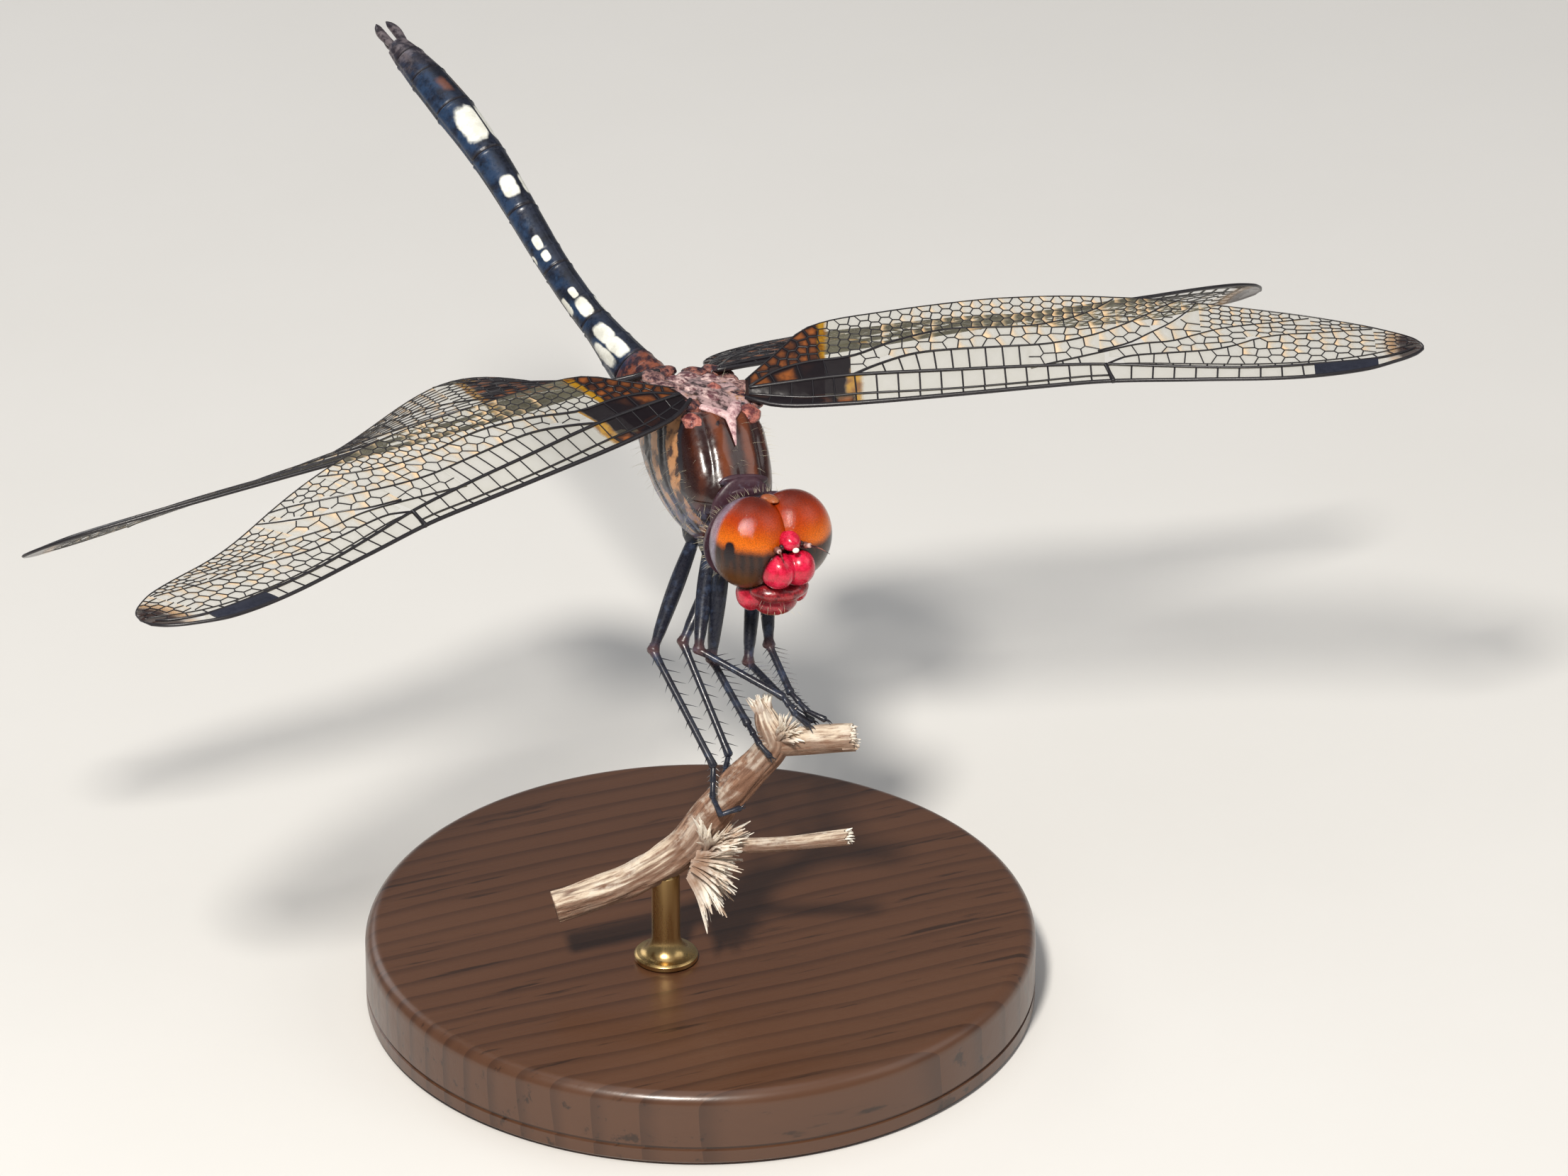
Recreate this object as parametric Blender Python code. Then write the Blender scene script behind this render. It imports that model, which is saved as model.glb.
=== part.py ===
"""Dragonfly (a male checkered setwing) gripping a cut length of twig on a display stand.

Sizes are in millimetres and are scaled to metres as each solid is made.
+X is the insect's left, -Y is ahead of it and +Z is up; the origin is under the stand's base.
"""

import math

import bmesh
import bpy
from mathutils import Matrix, Vector

for old in list(bpy.data.objects):
    bpy.data.objects.remove(old, do_unlink=True)

MM = 0.001
GAP = 0.05  # clearance between neighbouring solids

# Driving dimensions
WING_HINGE = Vector((4.0, 8.0, 34.0))  # middle of the wing bases, above the base's centre
BODY_ROLL = math.radians(9.0)  # the thorax leans, its left side down
HEAD_CENTRE = Vector((-0.3, -9.5, -5.0))  # from the wing hinge
HEAD_TURN, HEAD_ROLL = math.radians(5.0), math.radians(3.5)
EYE_OFFSET, EYE_RADII = 1.3, (2.3, 2.2, 2.62)
EYE_BACK = 1.35
ABDOMEN_START, ABDOMEN_LENGTH = Vector((-0.5, 3.6, -3.3)), 33.4
ABDOMEN_TURN = (9.5, 9.0, 9.5, 10.5, 12.0)  # degrees to the right at each quarter
ABDOMEN_RISE = (15.0, 18.0, 32.0, 21.0, 12.0)
ABDOMEN_FIRST = 0.8  # where segment 1 begins along the abdomen's line
SEGMENT_LENGTHS = (0.9, 2.5, 4.3, 4.4, 4.4, 4.2, 3.9, 3.0, 2.0, 1.2)
SEGMENT_WIDTHS = (2.9, 3.0, 2.5, 1.9, 1.8, 1.95, 2.2, 2.5, 2.3, 1.85, 1.4)
SEGMENT_HEIGHTS = (2.9, 3.6, 2.9, 1.9, 1.75, 1.8, 1.9, 2.05, 1.85, 1.6, 1.25)
CERCUS_LENGTH = 1.9
FOREWING_LENGTH, HINDWING_LENGTH = 37.6, 36.5
WING_THICKNESS = 0.5
STAND_RADIUS, STAND_THICKNESS, STAND_BEVEL = 19.0, 4.5, 0.8
ROD_RADIUS, ROD_FOOT_RADIUS, ROD_FOOT_HEIGHT = 0.8, 1.8, 1.2
FEMUR_RADII, TIBIA_RADII, TARSUS_RADII = (0.44, 0.42, 0.36), (0.3, 0.28, 0.26), (0.26, 0.25, 0.25)


def material(name, colour, roughness=0.5, metallic=0.0, alpha=1.0):
    made = bpy.data.materials.new(name)
    made.use_nodes = True
    shader = made.node_tree.nodes["Principled BSDF"]
    shader.inputs["Base Color"].default_value = (*colour, 1.0)
    shader.inputs["Roughness"].default_value = roughness
    shader.inputs["Metallic"].default_value = metallic
    shader.inputs["Alpha"].default_value = alpha
    return made


EYE = material("eye_amber_red", (0.42, 0.06, 0.01), 0.12)
CRIMSON = material("face_crimson", (0.68, 0.01, 0.05), 0.25)
RUST = material("face_rust", (0.32, 0.04, 0.03), 0.35)
HEAD_DARK = material("head_dark", (0.05, 0.035, 0.04), 0.4)
CHESTNUT = material("thorax_chestnut", (0.16, 0.05, 0.02), 0.3)
ABDOMEN = material("abdomen_blue_black", (0.012, 0.016, 0.035), 0.35)
LEG = material("leg_black", (0.01, 0.011, 0.018), 0.3)
WING = material("wing_membrane", (0.55, 0.56, 0.3), 0.15, alpha=0.4)
BARK = material("twig_bark", (0.46, 0.36, 0.25), 0.85)
PITH = material("twig_splinters", (0.75, 0.66, 0.5), 0.9)
WOOD = material("stand_wood", (0.06, 0.03, 0.018), 0.4)
BRASS = material("stand_brass", (0.6, 0.45, 0.2), 0.3, metallic=1.0)


def guide(name, at, turn=(0.0, 0.0, 0.0), parent=None):
    """An empty that carries a group of solids."""
    empty = bpy.data.objects.new(name, None)
    bpy.context.scene.collection.objects.link(empty)
    empty.parent = parent
    empty.location = Vector(at) * MM
    empty.rotation_euler = turn
    empty.empty_display_size = 5 * MM
    return empty


STAND = guide("stand_frame", (0, 0, 0))
HINGE = guide("hinge_frame", WING_HINGE)
BODY = guide("body_frame", (0, 0, 0), (0, BODY_ROLL, 0), HINGE)
HEAD = guide("head_frame", HEAD_CENTRE, (0, HEAD_ROLL, HEAD_TURN), HINGE)


def add_solid(name, points, faces, look, parent=HINGE):
    """One closed solid from points in millimetres about its parent."""
    work = bmesh.new()
    corners = [work.verts.new(Vector(p) * MM) for p in points]
    for face in faces:
        work.faces.new([corners[i] for i in face])
    finish_solid(name, work, look, parent)


def finish_solid(name, work, look, parent):
    """Turn the faces outwards, shade them and hand the solid to its parent."""
    bmesh.ops.recalc_face_normals(work, faces=work.faces)
    if work.calc_volume(signed=True) < 0:
        bmesh.ops.reverse_faces(work, faces=work.faces)
    mesh = bpy.data.meshes.new(name)
    work.to_mesh(mesh)
    work.free()
    mesh.shade_smooth()
    mesh.set_sharp_from_angle(angle=math.radians(50))
    mesh.materials.append(look)
    made = bpy.data.objects.new(name, mesh)
    made.parent = parent
    bpy.context.scene.collection.objects.link(made)


def loft(rings, start=None, end=None):
    """Points and faces of a skin over equal rings, closed by a fan at each end."""
    count = len(rings[0])
    points = [p for ring in rings for p in ring]
    faces = []
    for k in range(len(rings) - 1):
        for i in range(count):
            j = (i + 1) % count
            a, b = k * count, (k + 1) * count
            faces.append((a + i, a + j, b + j, b + i))
    for ring, tip, base in ((rings[0], start, 0), (rings[-1], end, (len(rings) - 1) * count)):
        points.append(tip if tip is not None else sum((Vector(p) for p in ring), Vector()) / count)
        hub = len(points) - 1
        for i in range(count):
            j = (i + 1) % count
            faces.append((hub, base + j, base + i) if base == 0 else (hub, base + i, base + j))
    return points, faces


def blend(keys, at):
    """Smooth value at `at` through (place, value, ...) keys, by monotone-free cubic pieces."""
    if at <= keys[0][0]:
        return keys[0][1:]
    if at >= keys[-1][0]:
        return keys[-1][1:]
    k = max(i for i in range(len(keys) - 1) if keys[i][0] <= at)
    before, a, b, after = keys[max(k - 1, 0)], keys[k], keys[k + 1], keys[min(k + 2, len(keys) - 1)]
    span = b[0] - a[0]
    t = (at - a[0]) / span
    values = []
    for i in range(1, len(a)):
        slope_a = (b[i] - before[i]) / (b[0] - before[0]) * span
        slope_b = (after[i] - a[i]) / (after[0] - a[0]) * span
        values.append(
            a[i] * (2 * t**3 - 3 * t**2 + 1)
            + slope_a * (t**3 - 2 * t**2 + t)
            + b[i] * (3 * t**2 - 2 * t**3)
            + slope_b * (t**3 - t**2)
        )
    return tuple(values)


def side_frame(along):
    """Two directions square to `along`: sideways and upwards."""
    across = along.cross(Vector((0, 0, 1)))
    across = across.normalized() if across.length > 1e-4 else Vector((1, 0, 0))
    return across, across.cross(along).normalized()


def tube(path, radii, sides=8, cut_start=None, cut_end=None, dome=(0.0, 0.0)):
    """A round bar along `path`; an end is cut by a (point, normal) plane or domed."""
    path = [Vector(p) for p in path]
    rings = []
    heading = (path[1] - path[0]).normalized()
    across, _ = side_frame(heading)
    tips = [None, None]
    for i, centre in enumerate(path):
        ahead = (path[min(i + 1, len(path) - 1)] - path[i]).normalized()
        behind = (path[i] - path[max(i - 1, 0)]).normalized()
        heading = (ahead + behind).normalized()
        across = (across - heading * across.dot(heading)).normalized()
        up = across.cross(heading)
        radius = radii[i]
        ring = []
        for j in range(sides):
            turn = 2 * math.pi * j / sides
            ring.append(centre + (across * math.cos(turn) + up * math.sin(turn)) * radius)
        plane = cut_start if i == 0 else cut_end if i == len(path) - 1 else None
        if plane:
            spot, normal = plane
            slide = [heading * ((spot - p).dot(normal) / heading.dot(normal)) for p in ring]
            ring = [p + s for p, s in zip(ring, slide)]
        rings.append(ring)
        bulge = dome[0] if i == 0 else dome[1] if i == len(path) - 1 else 0
        if bulge:
            out = -heading if i == 0 else heading
            middle = [centre + (p - centre) * 0.72 + out * bulge * 0.7 for p in ring]
            tips[0 if i == 0 else 1] = centre + out * bulge
            if i == 0:
                rings.insert(0, middle)
            else:
                rings.append(middle)
    return loft(rings, tips[0], tips[1])


def ellipsoid_span(centre, radii, start, ray):
    """Where a ray from `start` enters and leaves an ellipsoid, or None if it misses."""
    o = Vector((start[i] - centre[i]) / radii[i] for i in range(3))
    d = Vector(ray[i] / radii[i] for i in range(3))
    a, b, c = d.dot(d), o.dot(d), o.dot(o) - 1
    inside = b * b - a * c
    if inside < 0:
        return None
    root = math.sqrt(inside)
    return (-b - root) / a, (-b + root) / a


def grown(shape, by=GAP):
    centre, radii = shape
    return centre, tuple(r + by for r in radii)


def star(centre, own, clear_of=(), planes=(), around=18, down=11):
    """The part of the `own` ellipsoids seen from `centre` and clear of its neighbours."""

    def reach(ray):
        spans = [ellipsoid_span(c, r, centre, ray) for c, r in own]
        far = max(span[1] for span in spans if span)
        for c, r in map(grown, clear_of):
            span = ellipsoid_span(c, r, centre, ray)
            if span and span[0] > 0:
                far = min(far, span[0])
        for spot, normal in planes:
            towards = ray.dot(normal)
            if towards > 1e-6:
                far = min(far, (Vector(spot) - centre).dot(normal) / towards)
        return max(far, 0.05)

    centre = Vector(centre)
    rings = []
    for k in range(1, down):
        tilt = math.pi * k / down
        rings.append([])
        for i in range(around):
            turn = 2 * math.pi * i / around
            level = math.sin(tilt)
            ray = Vector((level * math.cos(turn), level * math.sin(turn), math.cos(tilt)))
            rings[-1].append(centre + ray * reach(ray))
    top, bottom = Vector((0, 0, 1)), Vector((0, 0, -1))
    return loft(rings, centre + top * reach(top), centre + bottom * reach(bottom))


# ---------------------------------------------------------------- head
EYES = [((side * EYE_OFFSET, 0, 0), EYE_RADII) for side in (1, -1)]
VERTEX = ((0, -2.05, 0.8), (0.62, 0.75, 0.55))
FRONS = [((side * 0.64, -1.95, -0.9), (0.95, 1.2, 1.08)) for side in (1, -1)]
CLYPEUS = ((0, -1.2, -2.45), (1.75, 1.35, 0.7))
LABRUM = ((0, -0.8, -3.4), (1.3, 1.15, 0.8))
MANDIBLES = [((side * 1.45, -0.45, -3.0), (0.65, 0.95, 0.85)) for side in (1, -1)]
LABIUM = ((0, 0.45, -3.55), (1.3, 1.15, 0.8))
BACK = Vector((0, 1, 0))


def half_eye(side):
    """An ellipsoid trimmed by the seam between the eyes and by the flat back of the head."""
    work = bmesh.new()
    bmesh.ops.create_uvsphere(work, u_segments=24, v_segments=14, radius=1.0)
    bmesh.ops.transform(
        work,
        matrix=Matrix.Translation((side * EYE_OFFSET, 0, 0)) @ Matrix.Diagonal((*EYE_RADII, 1.0)),
        verts=work.verts,
    )
    for spot, normal in (((side * GAP / 2, 0, 0), (-side, 0, 0)), ((0, EYE_BACK, 0), (0, 1, 0))):
        parts = work.verts[:] + work.edges[:] + work.faces[:]
        cut = bmesh.ops.bisect_plane(
            work, geom=parts, dist=1e-5, plane_co=spot, plane_no=normal, clear_outer=True
        )
        rim = [e for e in cut["geom_cut"] if isinstance(e, bmesh.types.BMEdge)]
        bmesh.ops.holes_fill(work, edges=rim)
    bmesh.ops.scale(work, vec=(MM, MM, MM), verts=work.verts)
    return work


for side, hand in ((1, "left"), (-1, "right")):
    finish_solid(f"eye_{hand}", half_eye(side), EYE, HEAD)
    other = MANDIBLES[0 if side > 0 else 1]
    points, faces = star(
        other[0], [other], EYES + FRONS + [CLYPEUS, LABRUM, LABIUM], around=12, down=8
    )
    add_solid(f"mandible_{hand}", points, faces, RUST, HEAD)
    root = Vector((side * 0.85, -2.35, 0.5))
    points, faces = tube(
        [root, root + Vector((side * 0.25, -0.75, 0.2)), root + Vector((side * 0.6, -1.6, 0.1))],
        (0.27, 0.25, 0.25),
        sides=6,
        dome=(0.1, 0.15),
    )
    add_solid(f"antenna_{hand}", points, faces, HEAD_DARK, HEAD)

points, faces = star((0, -2.25, 0.85), [VERTEX], EYES, around=16, down=9)
add_solid("vertex", points, faces, CRIMSON, HEAD)
points, faces = star((0, -2.3, -1.0), FRONS, EYES + [VERTEX])
add_solid("frons", points, faces, CRIMSON, HEAD)
points, faces = star((0, -1.6, -2.7), [CLYPEUS], EYES + FRONS)
add_solid("clypeus", points, faces, RUST, HEAD)
points, faces = star((0, -1.1, -3.6), [LABRUM], EYES + [CLYPEUS])
add_solid("labrum", points, faces, RUST, HEAD)
points, faces = star(
    (0, 0.6, -3.6), [LABIUM], EYES + [LABRUM, CLYPEUS], [((0, 1.35, 0), BACK)], around=16, down=9
)
add_solid("labium", points, faces, RUST, HEAD)
points, faces = star(
    (0, 1.6, -0.5),
    [((0, 1.3, -0.45), (3.5, 0.95, 2.75))],
    [LABIUM],
    [((0, EYE_BACK + GAP, 0), -BACK), ((0, 2.1, 0), BACK)],
    around=24,
    down=12,
)
add_solid("head_back", points, faces, HEAD_DARK, HEAD)

# ---------------------------------------------------------------- thorax
# place along Y, top, bottom, half-width, squareness of the upper half
THORAX_STATIONS = (
    (-5.95, -3.2, -5.6, 1.5, 2.2),
    (-5.0, -2.1, -7.0, 2.35, 2.3),
    (-3.6, -0.8, -8.1, 2.8, 2.45),
    (-1.5, 0.1, -8.6, 3.05, 3.0),
    (0.8, 0.15, -8.3, 3.0, 3.2),
    (2.6, -0.2, -6.9, 2.65, 3.0),
    (3.8, -0.9, -5.6, 2.0, 2.4),
    (4.3, -1.7, -4.7, 1.45, 2.2),
)


def thorax_ring(y, sides=22):
    top, bottom, half, square = blend(THORAX_STATIONS, y)
    middle, tall = (top + bottom) / 2, (top - bottom) / 2
    ring = []
    for i in range(sides):
        turn = 2 * math.pi * i / sides
        power = 2 / (square if math.sin(turn) > 0 else 1.9)
        across = math.copysign(abs(math.cos(turn)) ** power, math.cos(turn))
        up = math.copysign(abs(math.sin(turn)) ** power, math.sin(turn))
        ring.append(Vector((half * across, y, middle + tall * up)))
    return ring


steps = 11
first, last = THORAX_STATIONS[0][0], THORAX_STATIONS[-1][0]
points, faces = loft([thorax_ring(first + (last - first) * i / steps) for i in range(steps + 1)])
add_solid("thorax", points, faces, CHESTNUT, BODY)
points, faces = star(
    (0, -6.5, -4.5),
    [((0, -6.5, -4.5), (1.95, 0.75, 1.95))],
    planes=[((0, -6.0, 0), BACK), ((0, -7.0, 0), -BACK)],
    around=18,
    down=10,
)
add_solid("prothorax", points, faces, HEAD_DARK, BODY)
points, faces = tube([(0, -7.34, -4.6), (0, -7.05, -4.6)], (0.6, 0.6), sides=10)
add_solid("neck", points, faces, HEAD_DARK, BODY)


# ---------------------------------------------------------------- abdomen
def abdomen_heading(share):
    turn, rise = (
        math.radians(blend([(i / 4, value) for i, value in enumerate(values)], share)[0])
        for values in (ABDOMEN_TURN, ABDOMEN_RISE)
    )
    level = math.cos(rise)
    return Vector((-math.sin(turn) * level, math.cos(turn) * level, math.sin(rise)))


ABDOMEN_STEPS = 160
abdomen_line = [ABDOMEN_START]
for i in range(ABDOMEN_STEPS):
    heading = abdomen_heading((i + 0.5) / ABDOMEN_STEPS)
    abdomen_line.append(abdomen_line[-1] + heading * (ABDOMEN_LENGTH / ABDOMEN_STEPS))


def along_abdomen(distance):
    """The middle of the abdomen and its heading this far along."""
    place = distance / ABDOMEN_LENGTH * ABDOMEN_STEPS
    i = min(int(place), ABDOMEN_STEPS - 1)
    middle = abdomen_line[i].lerp(abdomen_line[i + 1], place - i)
    return middle, abdomen_heading(distance / ABDOMEN_LENGTH)


def abdomen_ring(distance, width, height, sides=16):
    centre, heading = along_abdomen(distance)
    across, up = side_frame(heading)
    ring = []
    for i in range(sides):
        turn = 2 * math.pi * i / sides
        lift = math.sin(turn) * height / 2
        keel = 1.0 - 0.12 * max(0.0, math.sin(turn))
        ring.append(centre + across * (math.cos(turn) * keel * width / 2) + up * lift)
    return ring


def fitted_to_thorax(ring, heading):
    """The ring slid along the abdomen onto the flat back of the thorax."""
    rear = THORAX_STATIONS[-1][0] + GAP
    return [p + heading * ((rear - p.y) / heading.y) for p in ring]


start = ABDOMEN_FIRST
for number, length in enumerate(SEGMENT_LENGTHS):
    rings = []
    for part in (0.0, 0.08, 0.5, 0.92, 1.0):
        pinch = 0.93 if part in (0.0, 1.0) else 1.0
        wide = SEGMENT_WIDTHS[number] * (1 - part) + SEGMENT_WIDTHS[number + 1] * part
        high = SEGMENT_HEIGHTS[number] * (1 - part) + SEGMENT_HEIGHTS[number + 1] * part
        rings.append(
            abdomen_ring(start + GAP / 2 + (length - GAP) * part, wide * pinch, high * pinch)
        )
    if number == 0:
        rings = [fitted_to_thorax(rings[0], along_abdomen(start)[1]), *rings[2:]]
    points, faces = loft(rings)
    add_solid(f"abdomen_{number + 1}", points, faces, ABDOMEN)
    start += length

tail, heading = along_abdomen(start)
across, up = side_frame(heading)
for side, hand in ((-1, "right"), (1, "left")):
    sign = 1 if (across.x > 0) == (side > 0) else -1
    path = [
        tail + across * sign * (0.34 + bow) + up * (0.2 + lift) + heading * reach
        for reach, bow, lift in ((GAP, 0.0, 0.0), (0.9, 0.14, 0.1), (CERCUS_LENGTH, 0.0, 0.16))
    ]
    points, faces = tube(path, (0.27, 0.3, 0.14), sides=8, cut_start=(path[0], heading))
    add_solid(f"cercus_{hand}", points, faces, ABDOMEN)
path = [tail - up * drop + heading * reach for reach, drop in ((GAP, 0.4), (0.7, 0.42), (1.4, 0.25))]
points, faces = tube(path, (0.28, 0.28, 0.2), sides=8, cut_start=(path[0], heading))
add_solid("epiproct", points, faces, ABDOMEN)

# ---------------------------------------------------------------- wings
# share of the length, leading edge and trailing edge behind the hinge line
FOREWING_STATIONS = (
    (-0.012, -0.3, 1.0),
    (0.03, -0.9, 2.7),
    (0.08, -1.1, 4.8),
    (0.19, -1.05, 6.2),
    (0.33, -0.72, 7.4),
    (0.43, -0.42, 7.8),
    (0.53, -0.19, 7.97),
    (0.66, -0.43, 8.1),
    (0.81, -0.7, 7.5),
    (0.91, -0.05, 6.4),
    (0.965, 1.25, 5.3),
    (0.99, 2.15, 4.5),
    (1.0, 2.85, 3.75),
)
HINDWING_STATIONS = (
    (-0.01, 0.1, 2.0),
    (0.03, -0.2, 4.2),
    (0.06, -0.25, 7.4),
    (0.10, -0.3, 9.9),
    (0.15, -0.45, 11.3),
    (0.22, -0.55, 11.6),
    (0.32, -0.65, 11.3),
    (0.43, -0.75, 10.6),
    (0.61, -0.7, 9.5),
    (0.78, -0.4, 8.3),
    (0.90, 0.25, 6.8),
    (0.965, 1.3, 5.2),
    (0.99, 2.2, 4.3),
    (1.0, 2.9, 3.6),
)
# root from the wing hinge, how far in of it the blade starts, sweep and droop in degrees,
# then the twist, trailing edge up, at the root and each quarter of the length
ATTITUDES = {
    "forewing_left": ((2.3, -1.3, -0.3), 0.45, 24.0, -2.5, (24, 15, 10, 1, -6)),
    "forewing_right": ((-2.3, -1.6, 0.35), 0.5, 22.6, 0.5, (14, 7, 4, -11, -5)),
    "hindwing_left": ((2.3, 2.3, -0.4), 0.62, -4.0, 4.0, (-25, -22, -24, -34, -40)),
    "hindwing_right": ((-2.3, 2.3, 0.25), 0.4, -6.9, 8.9, (-33, -16, -27, -30, -34)),
}
CAMBER = 0.025


class Wing:
    def __init__(self, length, stations, root, inset, sweep, droop, twist):
        self.length, self.root = length, Vector(root)
        self.stations = [(-inset / length, *stations[0][1:]), *stations[1:]]
        self.twist = [(quarter / 4, turn) for quarter, turn in enumerate(twist)]
        side = math.copysign(1, root[0])
        sweep, droop = math.radians(sweep), math.radians(droop)
        level = Vector((side * math.cos(sweep), -math.sin(sweep), 0))
        self.out = level * math.cos(droop) - Vector((0, 0, 1)) * math.sin(droop)
        self.back = Vector((side * math.sin(sweep), math.cos(sweep), 0))
        self.up = self.out.cross(self.back) * side

    def point(self, share, behind, lift=0.0):
        """The spot this share of the way out, this far behind the hinge line."""
        turn = math.radians(blend(self.twist, share)[0])
        back = self.back * math.cos(turn) + self.up * math.sin(turn)
        up = self.up * math.cos(turn) - self.back * math.sin(turn)
        return self.root + self.out * (self.length * share) + back * behind + up * lift

    def solid(self, columns=24, rows=4):
        rings = []
        for i in range(columns):
            share = self.stations[0][0] + (1 - self.stations[0][0]) * math.sin(
                math.pi / 2 * i / (columns - 1)
            )
            lead, trail = blend(self.stations, share)
            top, under = [], []
            for k in range(rows):
                across = k / (rows - 1)
                bow = CAMBER * (trail - lead) * math.sin(math.pi * across)
                behind = lead + (trail - lead) * across
                top.append(self.point(share, behind, bow + WING_THICKNESS / 2))
                under.append(self.point(share, behind, bow - WING_THICKNESS / 2))
            rings.append(top + under[::-1])
        return loft(rings)


for name, attitude in ATTITUDES.items():
    if name.startswith("forewing"):
        wing = Wing(FOREWING_LENGTH, FOREWING_STATIONS, *attitude)
    else:
        wing = Wing(HINDWING_LENGTH, HINDWING_STATIONS, *attitude)
    add_solid(name, *wing.solid(), WING)

# ---------------------------------------------------------------- twig
STEM = (
    ((-1.4, -10.5, -14.6), 0.3),
    ((-1.3, -11.1, -15.5), 0.75),
    ((-1.1, -11.6, -16.7), 0.95),
    ((-3.1, -11.3, -19.0), 1.0),
    ((-4.8, -11.1, -20.8), 1.1),
    ((-6.3, -11.0, -22.5), 1.1),
    ((-8.4, -10.7, -23.7), 1.0),
    ((-10.8, -10.3, -24.6), 0.95),
    ((-13.6, -9.7, -25.3), 0.95),
)
STUB = (((-1.1, -11.6, -16.7), 0.8), ((1.0, -12.7, -16.4), 0.8), ((2.8, -13.8, -16.1), 0.82))
BRANCHLET = (((-5.6, -11.3, -22.4), 0.5), ((-1.9, -13.6, -22.0), 0.42), ((1.7, -15.6, -21.3), 0.5))


def bark_distance(spot, limbs=(STEM,)):
    """How far a spot is from the twig's surface, and the way out from its middle."""
    best = None
    for limb in limbs:
        for (a, ra), (b, rb) in zip(limb, limb[1:]):
            a, b = Vector(a), Vector(b)
            t = min(max((spot - a).dot(b - a) / (b - a).length_squared, 0), 1)
            out = spot - a.lerp(b, t)
            gap = out.length - (ra + (rb - ra) * t)
            if best is None or gap < best[0]:
                best = gap, out.normalized()
    return best


def seated(spot, heading, clear=GAP):
    """The first place along a heading that stands clear of the stem."""
    low, high = 0.0, 4.0
    for _ in range(30):
        middle = (low + high) / 2
        if bark_distance(spot + heading * middle)[0] < clear:
            low = middle
        else:
            high = middle
    return spot + heading * high


def limb_solid(limb, sides=10):
    """A side branch whose foot is fitted to the stem."""
    start, heading = Vector(limb[0][0]), (Vector(limb[1][0]) - Vector(limb[0][0])).normalized()
    across, up = side_frame(heading)
    rings = []
    for share in (0.5, 1.0):
        ring = []
        for i in range(sides):
            turn = 2 * math.pi * i / sides
            off = (across * math.cos(turn) + up * math.sin(turn)) * limb[0][1] * share
            ring.append(seated(start + off, heading))
        rings.append(ring)
    for place, radius in limb[1:]:
        ring = []
        for i in range(sides):
            turn = 2 * math.pi * i / sides
            ring.append(Vector(place) + (across * math.cos(turn) + up * math.sin(turn)) * radius)
        rings.append(ring)
    return loft(rings, seated(start, heading))


points, faces = tube([p for p, _ in STEM], [r for _, r in STEM], sides=12)
add_solid("twig_stem", points, faces, BARK)
add_solid("twig_stub", *limb_solid(STUB), BARK)
add_solid("twig_branchlet", *limb_solid(BRANCHLET, sides=8), BARK)

# a tuft of splintered wood: a flaring cup whose rim ends in spikes
TUFT_ROOT, TUFT_END = Vector((-5.9, -11.7, -23.1)), Vector((-3.5, -13.6, -25.6))
TUFT_SPIKES, TUFT_WAIST, TUFT_FLARE = 7, 0.7, 1.95
TUFT_STAGES = ((0.0, TUFT_WAIST, 0.0), (0.4, 1.05, 0.12), (0.7, 1.45, 0.3), (1.0, TUFT_FLARE, 0.62))
along = (TUFT_END - TUFT_ROOT).normalized()
across, up = side_frame(along)
reach = (TUFT_END - TUFT_ROOT).length
rings = []
for share, wide, spread in TUFT_STAGES:
    ring = []
    for i in range(TUFT_SPIKES * 2):
        turn = math.pi * i / TUFT_SPIKES
        tip = i % 2 == 0
        radius = wide * (1.0 if tip else 1.0 - spread)
        drop = reach * (share if tip else share * (1.0 - 0.35 * spread))
        spot = TUFT_ROOT + (across * math.cos(turn) + up * math.sin(turn)) * radius
        ring.append(seated(spot, along) if share == 0 else spot + along * drop)
    rings.append(ring)
points, faces = loft(rings, seated(TUFT_ROOT, along), TUFT_ROOT + along * reach * 0.8)
add_solid("twig_tuft", points, faces, PITH)

# ---------------------------------------------------------------- legs
# hip, knee, ankle, then where the foot lies along the bark
LEGS = {
    "hind_right": (
        (-1.6, -1.6, -8.75),
        (-6.1, -6.4, -12.3),
        (-4.6, -11.3, -17.5),
        ((-5.0, -12.1, -19.0), (-4.7, -12.5, -20.0), (-3.6, -12.6, -19.8)),
    ),
    "hind_left": (
        (1.1, -1.6, -8.8),
        (-3.4, -4.3, -13.4),
        (-2.8, -9.3, -18.2),
        ((-3.3, -9.7, -19.6), (-4.2, -9.6, -20.4)),
    ),
    "mid_right": (
        (-1.5, -3.6, -8.5),
        (-3.9, -7.7, -12.1),
        (-0.5, -11.6, -13.9),
        ((-0.1, -12.3, -14.7), (0.5, -12.8, -15.3)),
    ),
    "mid_left": (
        (1.5, -3.6, -8.5),
        (-0.4, -6.6, -14.2),
        (0.2, -9.7, -14.9),
        ((0.6, -10.9, -15.3), (1.3, -11.6, -15.8)),
    ),
    "front_right": (
        (-1.2, -5.2, -7.6),
        (-2.8, -7.0, -13.3),
        (-2.2, -10.8, -15.6),
        ((-2.2, -12.2, -16.2), (-1.8, -12.7, -16.8)),
    ),
    "front_left": (
        (1.2, -5.2, -7.6),
        (0.3, -7.9, -12.6),
        (0.4, -10.6, -14.3),
        ((0.9, -11.8, -15.0), (1.6, -12.6, -15.3)),
    ),
}


def on_bark(spot):
    """The spot moved out from the twig until a foot there just clears the bark."""
    for _ in range(4):
        short, out = bark_distance(spot, (STEM, STUB, BRANCHLET))
        spot = spot + out * max(0.0, TARSUS_RADII[1] + GAP - short)
    return spot


def joint_plane(before, at, after, shift):
    """The plane that halves a bend, moved a little to one side of it."""
    normal = ((at - before).normalized() + (after - at).normalized()).normalized()
    return at + normal * shift, normal


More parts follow.
